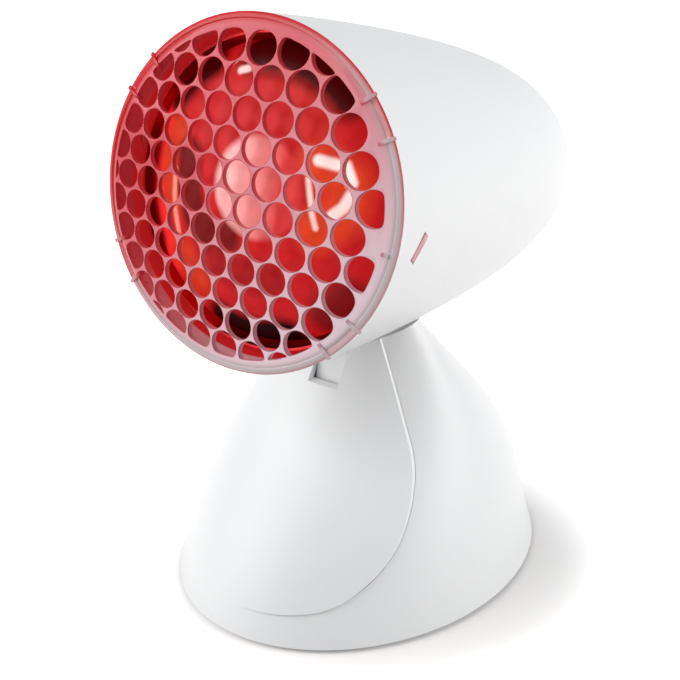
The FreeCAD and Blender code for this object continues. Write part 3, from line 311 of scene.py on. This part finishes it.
whiteLook = ((0.88, 0.882, 0.886), (0.86, 0.863, 0.868), 0.42)
finishes = {
    "white": moulded("whiteSatin", *whiteLook),
    "bell": paintedRedLightInside(moulded("whiteSatinPaintedRedLight", *whiteLook)),
    "clear": clearPlasticPaintedLight("clearPlasticPaintedLight"),
    "glass": litGlass("redGlass"),
    # the heat shield is aluminium with red painted in, standing for the lamp's light falling on
    # it
    "shield": metal("aluminiumPaintedRedLight", (0.85, 0.06, 0.07), 0.35),
    "cap": metal("rolledAluminium", (0.8, 0.8, 0.82), 0.3),
    "steel": metal("zincSteel", (0.6, 0.6, 0.62), 0.35),
    "brass": metal("brassStrip", (0.78, 0.6, 0.3), 0.3),
    "ceramic": moulded("glazedCeramic", (0.85, 0.84, 0.8), (0.82, 0.81, 0.77), 0.15, coat=0.5),
    "base": moulded("basePlastic", (0.6, 0.6, 0.61), (0.57, 0.57, 0.58), 0.5, bump=0.1),
    "rubber": moulded("footRubber", (0.12, 0.12, 0.125), (0.1, 0.1, 0.105), 0.75, bump=0.2),
    "gland": moulded("glandRubber", (0.78, 0.78, 0.78), (0.74, 0.74, 0.74), 0.6, bump=0.1),
    "sleeve": moulded("leadSleeve", (0.8, 0.78, 0.72), (0.75, 0.73, 0.68), 0.5, bump=0.1),
    "black": moulded("switchBlack", (0.02, 0.02, 0.022), (0.025, 0.025, 0.027), 0.3, bump=0.1),
    "dark": moulded("darkInsulator", (0.03, 0.03, 0.035), (0.04, 0.04, 0.045), 0.2),
}
finishOf = {
    "white": ["stand_shell", "front_cover"],
    "bell": ["head_shell"],
    "clear": ["grille"],
    "glass": ["lamp_glass"],
    "shield": ["heat_shield"],
    "cap": ["lamp_cap"],
    "steel": ["socket_plate", "shield_screws", "socket_screws", "base_screws", "column_screws",
              "cover_screws", "detent_screw", "block_screws", "clamp_screws",
              "terminal_screws", "hinge_pin", "pin_clip", "detent_spring", "lamp_supports",
              "lamp_filament"],
    "ceramic": ["socket_body", "lamp_stem"],
    "brass": ["socket_sleeve", "socket_spring", "socket_terminals", "lamp_contact",
              "switch_tabs"],
    "sleeve": ["head_leads", "flex_leads", "stand_leads", "switch_leads"],
    "base": ["base_plate", "hinge_column", "pivot_washers", "terminal_block", "cord_clamp"],
    "rubber": ["rubber_feet"],
    "gland": ["cord_gland"],
    "black": ["switch_housing", "switch_rocker"],
    "dark": ["lamp_insulator"],
}
for finish, names in finishOf.items():
    for name in names:
        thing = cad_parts[name]
        thing.data.materials.clear()
        thing.data.materials.append(finishes[finish])
print("finishes:", len(finishes), "materials on the CAD nodes")

meshing = {
    "merge": 2e-6,          # points nearer than this are one, metres
    "flat": 1e-7,           # faces thinner than this go, metres
    "sharp": 35,            # degrees between faces that keep their edge
}


def addPiece(name, points, faces, finish, body, node, marks):
    # points is an array in metres in the row frame; faces is a list of index arrays, each with
    # one number of corners; marks holds values per point for the material to read
    mesh = bpy.data.meshes.new(name)
    counts = np.concatenate([np.full(len(part), part.shape[1]) for part in faces])
    corners = np.concatenate([part.ravel() for part in faces]).astype(np.int32)
    mesh.vertices.add(len(points))
    mesh.vertices.foreach_set("co", np.ascontiguousarray(points, np.float32).ravel())
    mesh.loops.add(len(corners))
    mesh.loops.foreach_set("vertex_index", corners)
    mesh.polygons.add(len(counts))
    starts = np.concatenate([[0], np.cumsum(counts)[:-1]]).astype(np.int32)
    mesh.polygons.foreach_set("loop_start", starts)
    mesh.update(calc_edges=True)
    mesh.validate()
    for mark, values in marks.items():
        coloured = values.ndim == 2
        layer = mesh.attributes.new(mark, "FLOAT_COLOR" if coloured else "FLOAT", "POINT")
        layer.data.foreach_set("color" if coloured else "value",
                               np.ascontiguousarray(values, np.float32).ravel())
    tidy = bmesh.new()
    tidy.from_mesh(mesh)
    bmesh.ops.remove_doubles(tidy, verts=tidy.verts, dist=meshing["merge"])
    bmesh.ops.dissolve_degenerate(tidy, dist=meshing["flat"], edges=tidy.edges)
    bmesh.ops.recalc_face_normals(tidy, faces=tidy.faces)
    tidy.to_mesh(mesh)
    tidy.free()
    mesh.polygons.foreach_set("use_smooth", np.ones(len(mesh.polygons), bool))
    mesh.set_sharp_from_angle(angle=math.radians(meshing["sharp"]))
    piece = bpy.data.objects.new(name, mesh)
    bpy.context.scene.collection.objects.link(piece)
    piece.data.materials.append(finishes[finish])
    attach(piece, body)
    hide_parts(node)
    print(name + ":", len(mesh.polygons), "faces")


def gridFaces(rows, columns, first=0):
    # quads between neighbouring points of a grid stored row by row, closed round each row
    row, column = np.meshgrid(np.arange(rows - 1), np.arange(columns), indexing="ij")
    nextColumn = (column + 1) % columns
    return first + np.stack([row * columns + column, (row + 1) * columns + column,
                             (row + 1) * columns + nextColumn, row * columns + nextColumn],
                            -1).reshape(-1, 4)


def softened(profile, radius, steps=3):
    # an open profile with each inner corner rounded: points on the quadratic curve through the
    # corner, from a radius before it to a radius after it, or less on a short side
    profile = np.asarray(profile, float)
    most = 0.45  # share of a side that one corner may take
    rounded = [profile[:1]]
    share = np.linspace(0, 1, steps + 1)[:, None]
    for before, corner, after in zip(profile, profile[1:], profile[2:]):
        into, out = before - corner, after - corner
        reach = min(radius, np.linalg.norm(into) * most, np.linalg.norm(out) * most)
        start = corner + into / np.linalg.norm(into) * reach
        end = corner + out / np.linalg.norm(out) * reach
        rounded.append(start * (1 - share) ** 2 + 2 * corner * share * (1 - share)
                       + end * share ** 2)
    rounded.append(profile[-1:])
    return np.concatenate(rounded)


def spun(out, back, angles):
    # a profile carried round the head's axis: x is the distance out times cosine, z is it times
    # sine, y is the distance back; either distance may change with the angle
    shape = np.broadcast_shapes(np.shape(out), np.shape(back), np.shape(angles))
    return np.stack([np.broadcast_to(part, shape) for part in
                     (out * np.cos(angles), back, out * np.sin(angles))], -1).reshape(-1, 3)


def capped(sections):
    # equal closed outlines one after another, with quads between them and a face at each end
    count, last = len(sections[0]), len(sections) - 1
    ends = np.array([np.arange(count)[::-1], last * count + np.arange(count)])
    return np.concatenate(sections), [gridFaces(len(sections), count), ends]


grille = {
    "dome": 240.0,          # outside radius of the dome, in millimetres like all lengths here
    "thickness": 2.0,
    "field": 52.4,          # edge of the field of holes
    "clip": 51.2,           # holes stop on this circle
    "clipMiddle": (-0.9, -0.3),
    "pitch": 10.895,
    "fan": (0.0172, 0.0101),  # growth of the pattern to the right and up, per pitch
    "fanPower": -1.5,       # a hole's radius follows its spread to this power
    "lean": 0.0226,         # turn of the pattern, clockwise
    "shift": (-0.54, -0.13),
    "rows": 7,              # rows of holes tried each way from the middle
    "overhang": 3.1,        # a cut hole's centre may lie this far past the clip
    "hole": 5.08,           # radius
    "edge": 0.22,           # rounding of each hole
    "cutPower": 14.0,       # sharpness of the corners between a hole and its cut
    # the path over a hole's lip: share of the way from the hole's edge (0) to the end of the
    # rounding (1) and the cell's edge (2), front or back, depth in edges, share of painted wall
    # shade
    "lip": ((2, 0, 0, 0), (1.5, 0, 0, 0), (1, 0, 0, 0.3), (0.42, 0, 0.12, 1),
            (0.12, 0, 0.42, 1), (0, 0, 1, 0.55), (0, 1, -1, 0.3), (0.3, 1, -0.3, 0.3),
            (1, 1, 0, 0.2), (2, 1, 0, 0)),
    "land": 0.02,           # least flat between a hole's lip and its cell's edge
    "angles": 48,           # points round a hole
    "scan": 192,            # directions tried for a cell's corners
    "halvings": 30,
    "near": 2.4,            # pitches within which holes are neighbours
    "faint": 1e-6,          # a line faced less than this is never reached
    "sameAngle": 1e-4,      # radians between angles that count as one
    "touch": 1e-3,          # a point this near the edge of the field is on it
    "latches": (36, -42.5, 146.5, 214),  # middles, degrees
    "spread": 7.3,          # degrees from a latch's middle to its ribs
    "loneRib": -8,          # degrees
    "ribGap": 6,            # degrees beside the lone rib that hold no hole
    "rib": 1.2,             # thickness
    "ribPaintedShade": 0.7,         # share of the painted wall shade on the ribs
}


def domeBack(out, sunk=0.0):
    # distance back of the dome at a distance from the axis: its radius less the root of the
    # radius squared less the distance squared, the second radius less by what it is sunk
    return grille["dome"] - np.sqrt((grille["dome"] - sunk) ** 2 - out ** 2)


def holeCentres():
    # rows of centres root 3 over 2 of a pitch apart, alternate rows shifted by half a pitch, the
    # axis between three holes; the pattern is turned a little and divided by a number that
    # falls to the right and up, so it fans out there
    number = np.arange(-grille["rows"], grille["rows"])
    row, column = np.meshgrid(number, number, indexing="ij")
    across = (column + ((row + 1) % 2) / 2).ravel()
    up = ((row - 1 / 3) * math.sqrt(3) / 2).ravel()
    spread = 1 - grille["fan"][0] * across - grille["fan"][1] * up
    pitch, lean = grille["pitch"], grille["lean"]
    x = (pitch * (across + lean * up) + grille["shift"][0]) / spread
    z = (pitch * (up - lean * across) + grille["shift"][1]) / spread
    away = np.hypot(x - grille["clipMiddle"][0], z - grille["clipMiddle"][1])
    besideRib = np.abs(np.degrees(np.arctan2(z, x)) - grille["loneRib"]) < grille["ribGap"]
    keep = (away < grille["clip"] + grille["overhang"]) & ~(besideRib & (away > grille["clip"]))
    return np.stack([x, z], 1)[keep], grille["hole"] * spread[keep] ** grille["fanPower"]


def circleReach(centre, unit, radius):
    # distance from a centre along unit vectors to a circle round the axis: the root of the
    # centre's part along them squared, less the centre squared, plus the radius squared, less
    # that part
    along = unit @ centre
    return -along + np.sqrt(along ** 2 - centre @ centre + radius ** 2)


def patchMiddle(centre, radius):
    # a whole hole is drawn from its centre, a cut one from the middle of what the edge leaves
    away = centre - grille["clipMiddle"]
    reach = math.hypot(*away)
    return grille["clipMiddle"] + away / reach * (reach - radius
                                                  + min(reach + radius, grille["clip"])) / 2


def cellOutline(start, centre, others):
    # seen from the start point, a cell's edge lies on the line half way between its hole and
    # another, or on the edge of the field; its corners, found by halving the steps in which the
    # edge changes owner, are added to the even spread of angles
    offsets = others - centre
    spans = np.hypot(*offsets.T)
    offsets = offsets[(spans > 0) & (spans < grille["near"] * grille["pitch"])]
    halfWay = ((centre + offsets / 2 - start) * offsets).sum(1)
    faint = grille["faint"]

    def reach(angles):
        unit = np.stack([np.cos(angles), np.sin(angles)], 1)
        facing = unit @ offsets.T
        limits = np.where(facing > faint, halfWay / np.maximum(facing, faint), np.inf)
        limits = np.column_stack([limits, circleReach(start, unit, grille["field"])])
        return limits.min(1), limits.argmin(1)

    turn = 2 * np.pi
    low = np.linspace(0, turn, grille["scan"], endpoint=False)
    high = low + turn / grille["scan"]
    owner = reach(low)[1]
    changed = owner != reach(high)[1]
    low, high, owner = low[changed], high[changed], owner[changed]
    for halving in range(grille["halvings"]):
        middle = (low + high) / 2
        same = reach(middle)[1] == owner
        low, high = np.where(same, middle, low), np.where(same, high, middle)
    even = np.linspace(0, turn, grille["angles"], endpoint=False)
    corners = np.mod((low + high) / 2, turn)
    gap = np.abs(np.mod(even[:, None] - corners + np.pi, turn) - np.pi).min(1)
    angles = np.sort(np.concatenate([even[gap > grille["sameAngle"]], corners]))
    return angles, reach(angles)[0]


def grilleWeb():
    # one patch per hole: from the cell's edge in over the front, round into the hole, through
    # it, and out again over the back; a cut hole's reach is that of the hole and of the cut,
    # joined by a high negative power of both
    centres, radii = holeCentres()
    edge, power = grille["edge"], grille["cutPower"]
    points, faces, rim, paintedWallShade = [], [], [], []
    first = 0
    for centre, radius in zip(centres, radii):
        start = patchMiddle(centre, radius)
        angles, outer = cellOutline(start, centre, centres)
        unit = np.stack([np.cos(angles), np.sin(angles)], 1)
        cut = circleReach(start - grille["clipMiddle"], unit, grille["clip"])
        hole = circleReach(start - centre, unit, radius)
        inner = (hole ** -power + cut ** -power) ** (-1 / power)
        lip = np.minimum(inner + edge, outer - grille["land"])
        reaches = (inner, lip, outer, outer)
        for share, side, depth, tone in grille["lip"]:
            near, far = reaches[int(share)], reaches[int(share) + 1]
            out = near + (far - near) * (share - int(share))
            x, z = (start + unit * out[:, None]).T
            back = domeBack(np.hypot(x, z), grille["thickness"] * side) + edge * depth
            points.append(np.stack([x, back, z], 1))
            paintedWallShade.append(np.full(len(angles), tone))
        faces.append(gridFaces(len(grille["lip"]), len(angles), first))
        first += len(grille["lip"]) * len(angles)
        x, z = (start + unit * outer[:, None]).T
        onRim = np.abs(np.hypot(x, z) - grille["field"]) < grille["touch"]
        rim.append(np.arctan2(z[onRim], x[onRim]))
    return (np.concatenate(points), np.concatenate(faces), np.concatenate(paintedWallShade),
            np.sort(np.concatenate(rim)))


ringBand = {
    "gap": 0.4,             # between the skirt and the bell's inner wall
    "round": 0.35,
    "bead": (-2.1, 0.8),    # out from the ring's edge and back from the field's, and so on
    "groove": (-1.9, 0.4),
    "step": (-0.8, 0.7),
    "edge": (0.0, 1.3),
    "skirt": ((0.33, 7.0), (1.33, 7.0)),  # in from the skirt and back from the mouth
    "inside": (1.0, 1.3),   # in from the skirt and back from the inside of the dome
    "sink": 0.9,            # the front between a latch's ribs is cut back to this depth
    "sunkFrom": -2.2,       # from here outwards
    "beside": 0.5,          # and this many degrees short of the ribs
}


def grilleBand(angles):
    # the stepped ring and its skirt: a rounded profile that goes round the axis through the
    # same angles as the edge of the web; between latch ribs its front steps are cut back
    field, ring, mouth = grille["field"], head["ring"], head["mouth"]
    front, back = domeBack(field), domeBack(field, grille["thickness"])
    skirt = ring - head["wall"] - ringBand["gap"]
    steps = [(ring + ringBand[name][0], front + ringBand[name][1])
             for name in ("bead", "groove", "step", "edge")]
    lower = [(skirt - inward, mouth + behind) for inward, behind in ringBand["skirt"]]
    inside = (skirt - ringBand["inside"][0], back + ringBand["inside"][1])
    profile = softened([(field, front), *steps, (ring, mouth), (skirt, mouth), *lower, inside,
                        (field, back)], ringBand["round"])
    out, setback = profile[:, :1], profile[:, 1:]
    latches = np.array(grille["latches"])
    gap = np.abs((np.degrees(angles)[:, None] - latches + 180) % 360 - 180).min(1)
    sunk = front + ringBand["sink"]
    low = (gap < grille["spread"] - ringBand["beside"]) & (out > ring + ringBand["sunkFrom"]) \
        & (setback < sunk)
    return spun(out, np.where(low, sunk, setback), angles), gridFaces(len(profile), len(angles))


ribShape = {
    "foot": (50.2, 1.0),    # out from the axis and back from the edge of the field
    "nose": (51.2, -0.7),
    "shoulder": (-1.9, -0.2),  # out from the ring and back from the edge of the field
    "toe": (0.7, 0.9),
    "ahead": 0.2,           # the ribs end this far in front of the bell's mouth
    "round": 0.3,
    "loneEnd": -2.6,        # the lone rib ends here, out from the ring
    "sides": ((-0.5, 0.06), (-0.38, 0.0), (0.38, 0.0), (0.5, 0.06)),  # place across, shrinkage
}


def grilleRibs():
    # each rib is its side outline, out and back, at four distances across its middle, the outer
    # two drawn in a little
    front, ring = domeBack(grille["field"]), head["ring"]
    foot, nose, shoulder, toe = [ribShape[name] for name in ("foot", "nose", "shoulder", "toe")]
    end = head["mouth"] - ribShape["ahead"]
    outline = softened([(foot[0], front + foot[1]), (nose[0], front + nose[1]),
                        (ring + shoulder[0], front + shoulder[1]),
                        (ring + toe[0], front + toe[1]), (ring + toe[0], end), (foot[0], end)],
                       ribShape["round"])
    lone = np.minimum(outline, (ring + ribShape["loneEnd"], end))
    ribs = [(grille["loneRib"], lone)]
    for latch in grille["latches"]:
        ribs += [(latch - grille["spread"], outline), (latch + grille["spread"], outline)]
    parts = []
    for turn, side in ribs:
        cosine, sine = math.cos(math.radians(turn)), math.sin(math.radians(turn))
        sections = []
        for place, shrinkage in ribShape["sides"]:
            out, back = (side + (side.mean(0) - side) * shrinkage).T
            across = place * grille["rib"]
            sections.append(np.stack([out * cosine - across * sine, back,
                                      out * sine + across * cosine], 1))
        parts.append(capped(sections))
    return parts


sideTab = {
    "turns": (-6.3, 173.7),  # degrees round the ring
    "half": (1.4, 4.8),     # half width and half length
    "power": 0.35,          # of sine and cosine, for square-ended sides
    "slant": 34,            # degrees
    "behind": 13,           # middle, back from the mouth
    "points": 40,
    "sections": ((51.5, 1), (54.9, 1), (55.25, 0.97), (55.4, 0.9)),  # distance out, size
}


def sideTabs():
    # a rounded bar on a slant, carried outwards from the skirt at both sides: its outline is
    # the half width and length times the low powers of cosine and sine
    swing = np.linspace(0, 2 * np.pi, sideTab["points"], endpoint=False)
    wave = np.stack([np.cos(swing), np.sin(swing)])
    across, along = (np.sign(wave) * np.abs(wave) ** sideTab["power"]
                     * np.array(sideTab["half"])[:, None])
    slant = math.radians(sideTab["slant"])
    parts = []
    for turn in np.radians(sideTab["turns"]):
        sections = []
        for out, size in sideTab["sections"]:
            back = head["mouth"] + sideTab["behind"] \
                + (across * math.cos(slant) + along * math.sin(slant)) * size
            z = (along * math.cos(slant) - across * math.sin(slant)) * size
            sections.append(np.stack([out * math.cos(turn) - z * math.sin(turn), back,
                                      out * math.sin(turn) + z * math.cos(turn)], 1))
        parts.append(capped(sections))
    return parts


toneZones = {
    "ring": 0.4,            # the ring's painted red light comes in over this width, out from the field
    "seam": (-0.9, 0.6),    # the skirt's painted red light starts here, back from the mouth, over this depth
}


def makeGrille():
    # web, band, ribs and tabs in one mesh, with marks for the painted shade on each hole's wall
    # and the ribs, and for the ring and the skirt, whose painted red light differs
    web, webFaces, webPaintedShade, rim = grilleWeb()
    band, bandFaces = grilleBand(rim)
    ribs, tabs = grilleRibs(), sideTabs()
    parts = [(web, [webFaces]), (band, [bandFaces]), *ribs, *tabs]
    ribCount = sum(len(points) for points, faces in ribs)
    tabCount = sum(len(points) for points, faces in tabs)
    starts = np.cumsum([0] + [len(points) for points, faces in parts])
    placed = [[part + start for part in group] for (points, group), start in zip(parts, starts)]
    faces = [group[0] for group in placed] + [end for group in placed for end in group[1:]]
    points = np.concatenate([points for points, group in parts])
    paintedWallShade = np.concatenate([webPaintedShade, np.zeros(len(band)), np.full(ribCount, grille["ribPaintedShade"]),
                            np.zeros(tabCount)])
    beyond = np.hypot(points[:, 0], points[:, 2]) - grille["field"]
    ring = np.clip(beyond / toneZones["ring"], 0, 1)
    seamStart, seamDepth = toneZones["seam"]
    behind = points[:, 1] - head["mouth"] - seamStart
    seam = np.clip(behind / seamDepth, 0, 1) * (beyond > 0)
    addPiece("grilleDome", toRow(points), faces, "clear", "head", "grille",
             {"wall": paintedWallShade, "ring": ring, "seam": seam})


makeGrille()

lampGlass = {
    "face": 5.8,            # lamp's face, back from the grille's apex
    "radius": 47.5,
    "length": 111.0,        # face to cap
    "neck": 12.9,           # radius in the cap
    "neckEnds": (-3, 2),    # the neck's cylinder, from the cap's edge
    # the side's points, as shares of the radius and of the length
    "shares": ((0, 0), (0.42, 0.012), (0.8, 0.054), (0.958, 0.099), (1, 0.153), (0.947, 0.252),
               (0.758, 0.414), (0.526, 0.577), (0.358, 0.712), (0.305, 0.802)),
    "widest": 4,            # number of the widest point
    "angles": 384,
    "step": 0.5,            # between rings on the face
    "sideRings": 60,
    "base": (188, 33, 36),  # colour of the lit face
    "side": (150, 16, 18),  # colour behind the widest point
    "faceDepth": 24,        # the painted strokes reach back to here
    "sideSpan": (17, 8),    # the side's colour starts here, over this depth
}


def lampSide():
    # a smooth line through the points of the lamp's side: between two points it is the cubic
    # whose slopes there are those of the lines between the neighbouring points
    points = [(out * lampGlass["radius"], back * lampGlass["length"])
              for out, back in lampGlass["shares"]]
    points += [(lampGlass["neck"], lampGlass["length"] + end) for end in lampGlass["neckEnds"]]
    points = np.array(points)
    spans = np.hypot(*np.diff(points, axis=0).T)
    along = np.concatenate([[0], np.cumsum(spans)])
    slopes = np.empty_like(points)
    slopes[1:-1] = (points[2:] - points[:-2]) / (along[2:] - along[:-2])[:, None]
    slopes[0], slopes[-1] = (1, 0), (0, 1)
    front, step = along[lampGlass["widest"]], lampGlass["step"]
    places = np.concatenate([np.arange(step * 2, front, step),
                             np.linspace(front, along[-1], lampGlass["sideRings"])])
    number = np.clip(np.searchsorted(along, places, "right") - 1, 0, len(spans) - 1)
    share = ((places - along[number]) / spans[number])[:, None]
    length = spans[number][:, None]
    return (points[number] * (2 * share ** 3 - 3 * share ** 2 + 1)
            + slopes[number] * length * (share ** 3 - 2 * share ** 2 + share)
            + points[number + 1] * (3 * share ** 2 - 2 * share ** 3)
            + slopes[number + 1] * length * (share ** 3 - share ** 2))


def written(colour):
    # a colour written as 0 to 255 becomes a linear value: the power 2.2 of its share of 255
    return (np.asarray(colour, float) / 255) ** 2.2


def strokeShare(x, z, path, width, soft):
    # nearness to a path of straight runs, from 1 within its half width to 0 a soft edge beyond
    nearest = np.full(x.shape, np.inf)
    for (startX, startZ), (endX, endZ) in zip(path, path[1:]):
        runX, runZ = endX - startX, endZ - startZ
        share = np.clip(((x - startX) * runX + (z - startZ) * runZ)
                        / (runX ** 2 + runZ ** 2), 0, 1)
        nearest = np.minimum(nearest, np.hypot(x - startX - share * runX,
                                               z - startZ - share * runZ))
    return np.clip((width / 2 + soft - nearest) / soft, 0, 1)


# painted highlights, reflections and shade on the lit face, as bright and dark strokes: path in
# millimetres, width, soft edge, colour
paintedLampHighlightsAndShade = [
    (((-38, 17), (-39.5, 0), (-37, -14), (-30, -28)), 4, 3, (240, 46, 48)),
    (((-30, -8), (-34, 5), (-31.5, 16)), 5, 4, (196, 58, 34)),
    (((-19, -32), (-26, -24)), 4, 6, (198, 56, 34)),
    (((23, 15), (34, 10), (33, 1), (25, -6)), 7, 6, (212, 66, 38)),
    (((12, 34), (22, 30)), 8, 8, (192, 38, 36)),
    (((-25, 8), (-24, -3), (-20, -11), (-14, -16), (-7, -15)), 8, 3, (112, 17, 20)),
    (((-9, -24), (2, -25), (11, -25)), 7, 4, (158, 28, 32)),
    (((-36, 24), (-31, 31), (-24, 37)), 6, 4, (60, 6, 8)),
    (((-8, 43), (4, 44), (14, 42), (23, 38.5), (28, 34.5)), 7, 5, (66, 8, 10)),
    (((-10, -43), (-3, -45), (6, -45), (15, -43)), 8, 4, (30, 3, 4)),
    (((30, -33), (36, -26)), 8, 5, (124, 25, 28)),
    (((-44, 8), (-45, -8), (-40, -22)), 5, 4, (110, 12, 16)),
    (((-31, 2), (-30, -10), (-27, -20)), 0.8, 1.2, (250, 150, 130)),
    (((23, 15.4), (29.5, 14.9)), 2.2, 1.2, (255, 240, 232)),
    (((31.4, 15.1), (34.1, 10.4)), 2.4, 1.2, (255, 246, 240)),
    (((34.5, 6.6), (32.8, 2.6), (29.8, -0.4)), 2.2, 1.2, (255, 240, 232)),
    (((20.7, 9.2), (22.8, 1.6)), 0.8, 0.9, (255, 225, 215)),
    (((23.3, -0.7), (25, -5.1)), 0.8, 0.9, (255, 225, 215)),
    (((-11.6, 36.6), (-8.5, 37.8)), 1.4, 0.8, (255, 225, 215)),
    (((-6.4, 13), (-8.6, 9.4)), 1.4, 0.9, (255, 235, 230)),
]
paintedPaleDisc = {
    "middle": (3.4, 3.1),   # painted pale disc: the bright filament's glow through the frosted face, with a painted reflection paler at its left
    "radius": 17.0,
    "soft": 2.0,
    "share": 0.85,
    "left": (255, 200, 197),
    "right": (208, 64, 64),
    "fade": (0.6, 0.8),     # share of the right colour in the middle, and its growth per radius
}


def paintedLampColours(points):
    # the lit face: the base colour is overlaid by one soft stroke after another, painted
    # highlights, reflections and shade, by the pale disc and its painted reflection, and behind
    # the face by the side's colour
    x, back, z = points.T
    onFace = back < lampGlass["faceDepth"]
    pale, sideSpan = paintedPaleDisc, lampGlass["sideSpan"]
    colour = np.tile(written(lampGlass["base"]), (len(points), 1))

    def overlaid(share, tone):
        return colour * (1 - share[:, None]) + tone * share[:, None]

    for path, width, soft, tone in paintedLampHighlightsAndShade:
        colour = overlaid(strokeShare(x, z, path, width, soft) * onFace, written(tone))
    acrossX, acrossZ = x - pale["middle"][0], z - pale["middle"][1]
    disc = np.clip((pale["radius"] - np.hypot(acrossX, acrossZ)) / pale["soft"], 0, 1)
    right = np.clip(acrossX / pale["radius"] * pale["fade"][1] + pale["fade"][0], 0, 1)[:, None]
    tone = written(pale["left"]) * (1 - right) + written(pale["right"]) * right
    colour = overlaid(disc * pale["share"] * onFace, tone)
    behind = np.clip((back - sideSpan[0]) / sideSpan[1], 0, 1)
    return overlaid(behind, written(lampGlass["side"]))


def makeLampGlass():
    # the side goes round the axis, and a fan of triangles closes the middle of the face
    out, back = lampSide().T[:, :, None]
    turns = np.linspace(0, 2 * np.pi, lampGlass["angles"], endpoint=False)
    points = np.concatenate([spun(out, back, turns), [(0, 0, 0)]])
    start = np.arange(len(turns))
    fan = np.stack([start, (start + 1) % len(turns), np.full(len(turns), len(points) - 1)], 1)
    glow = np.column_stack([paintedLampColours(points), np.ones(len(points))])
    addPiece("lampGlass", toRow(points + (0, lampGlass["face"], 0)),
             [gridFaces(len(out), len(turns)), fan], "glass", "head", "lamp_glass",
             {"glow": glow})


makeLampGlass()

light = {
    "world": 0.25,
    "worldTone": (0.92, 0.96, 1.0),
    # each lamp's place and size in metres, and its power in watts
    "keyLeft": ((-0.8, -0.95, 0.75), (1.2, 1.1), 16.4),
    "sideRight": ((1.15, 0.35, 0.42), (0.8, 0.8), 10.5),
    "top": ((-0.1, 0.1, 1.4), (1.0, 1.0), 2.3),
    "aim": (0, 0, 0.12),
}
stage = {
    "reach": 6.0,                   # metres
    "surface": {"Roughness": 0.7, "Specular IOR Level": 0.1, "Emission Color": (1, 1, 1)},
    "tone": (0.36, 0.345, 0.335),   # as it lights the object
    "seenTone": (0.88, 0.86, 0.845),
    "glow": (0.13, 1.0),            # within the painted shadow disc, and beyond it
    "paintedShadowMiddle": (0.011, -0.004, 0),
    "paintedShadowReach": (0.06, 0.106),    # the disc's soft edge
}


def seenRays(nodes, links):
    # 1 for camera, glossy and transmission rays, 0 for the light that falls on things
    rays = nodes.new("ShaderNodeLightPath").outputs
    seen = mathNode(nodes, links, "MAXIMUM", rays["Is Camera Ray"], rays["Is Glossy Ray"])
    return mathNode(nodes, links, "MAXIMUM", seen, rays["Is Transmission Ray"])


def makeFloor():
    # a plain floor that glows white to the eye, less so in a disc under the object shifted to
    # its right and front: a painted shadow there, which also lets the lamps' own shadow show
    mesh = bpy.data.meshes.new("floor")
    reach = stage["reach"]
    mesh.from_pydata([(-reach, -reach, 0), (reach, -reach, 0), (reach, reach, 0),
                      (-reach, reach, 0)], [], [(0, 1, 2, 3)])
    floor = bpy.data.objects.new("floor", mesh)
    bpy.context.scene.collection.objects.link(floor)
    material, nodes, links, shader = newMaterial("paleFloor")
    give(links, shader, stage["surface"])
    seen = seenRays(nodes, links)
    place = nodes.new("ShaderNodeTexCoord").outputs["Object"]
    away = vectorNode(nodes, links, "DISTANCE", place, stage["paintedShadowMiddle"])
    glow = mapRange(nodes, links, away, stage["glow"], stage["paintedShadowReach"])
    give(links, shader, {
        "Base Color": mixColours(nodes, links, seen, stage["tone"], stage["seenTone"]),
        "Emission Strength": mathNode(nodes, links, "MULTIPLY", seen, glow)})
    floor.data.materials.append(material)


def makeLamp(name):
    # a flat lamp turned to the aim
    place, size, power = light[name]
    lamp = bpy.data.objects.new(name, bpy.data.lights.new(name, "AREA"))
    lamp.data.shape = "RECTANGLE"
    lamp.data.size, lamp.data.size_y = size
    lamp.data.energy = power
    lamp.location = place
    lamp.rotation_euler = aimed(place, light["aim"])
    bpy.context.scene.collection.objects.link(lamp)


def makeWorld():
    # an even pale surround that camera, glossy and transmission rays see as white
    world = bpy.data.worlds.new("studio")
    world.use_nodes = True
    nodes, links = world.node_tree.nodes, world.node_tree.links
    seen = seenRays(nodes, links)
    give(links, nodes["Background"], {
        "Color": mixColours(nodes, links, seen, light["worldTone"], (1, 1, 1)),
        "Strength": mapRange(nodes, links, seen, (light["world"], 1.0))})
    bpy.context.scene.world = world


makeFloor()
for name in ("keyLeft", "sideRight", "top"):
    makeLamp(name)
makeWorld()
bpy.context.scene.view_settings.view_transform = "Standard"
print("stage: floor, lamps and world")

bpy.context.view_layer.update()
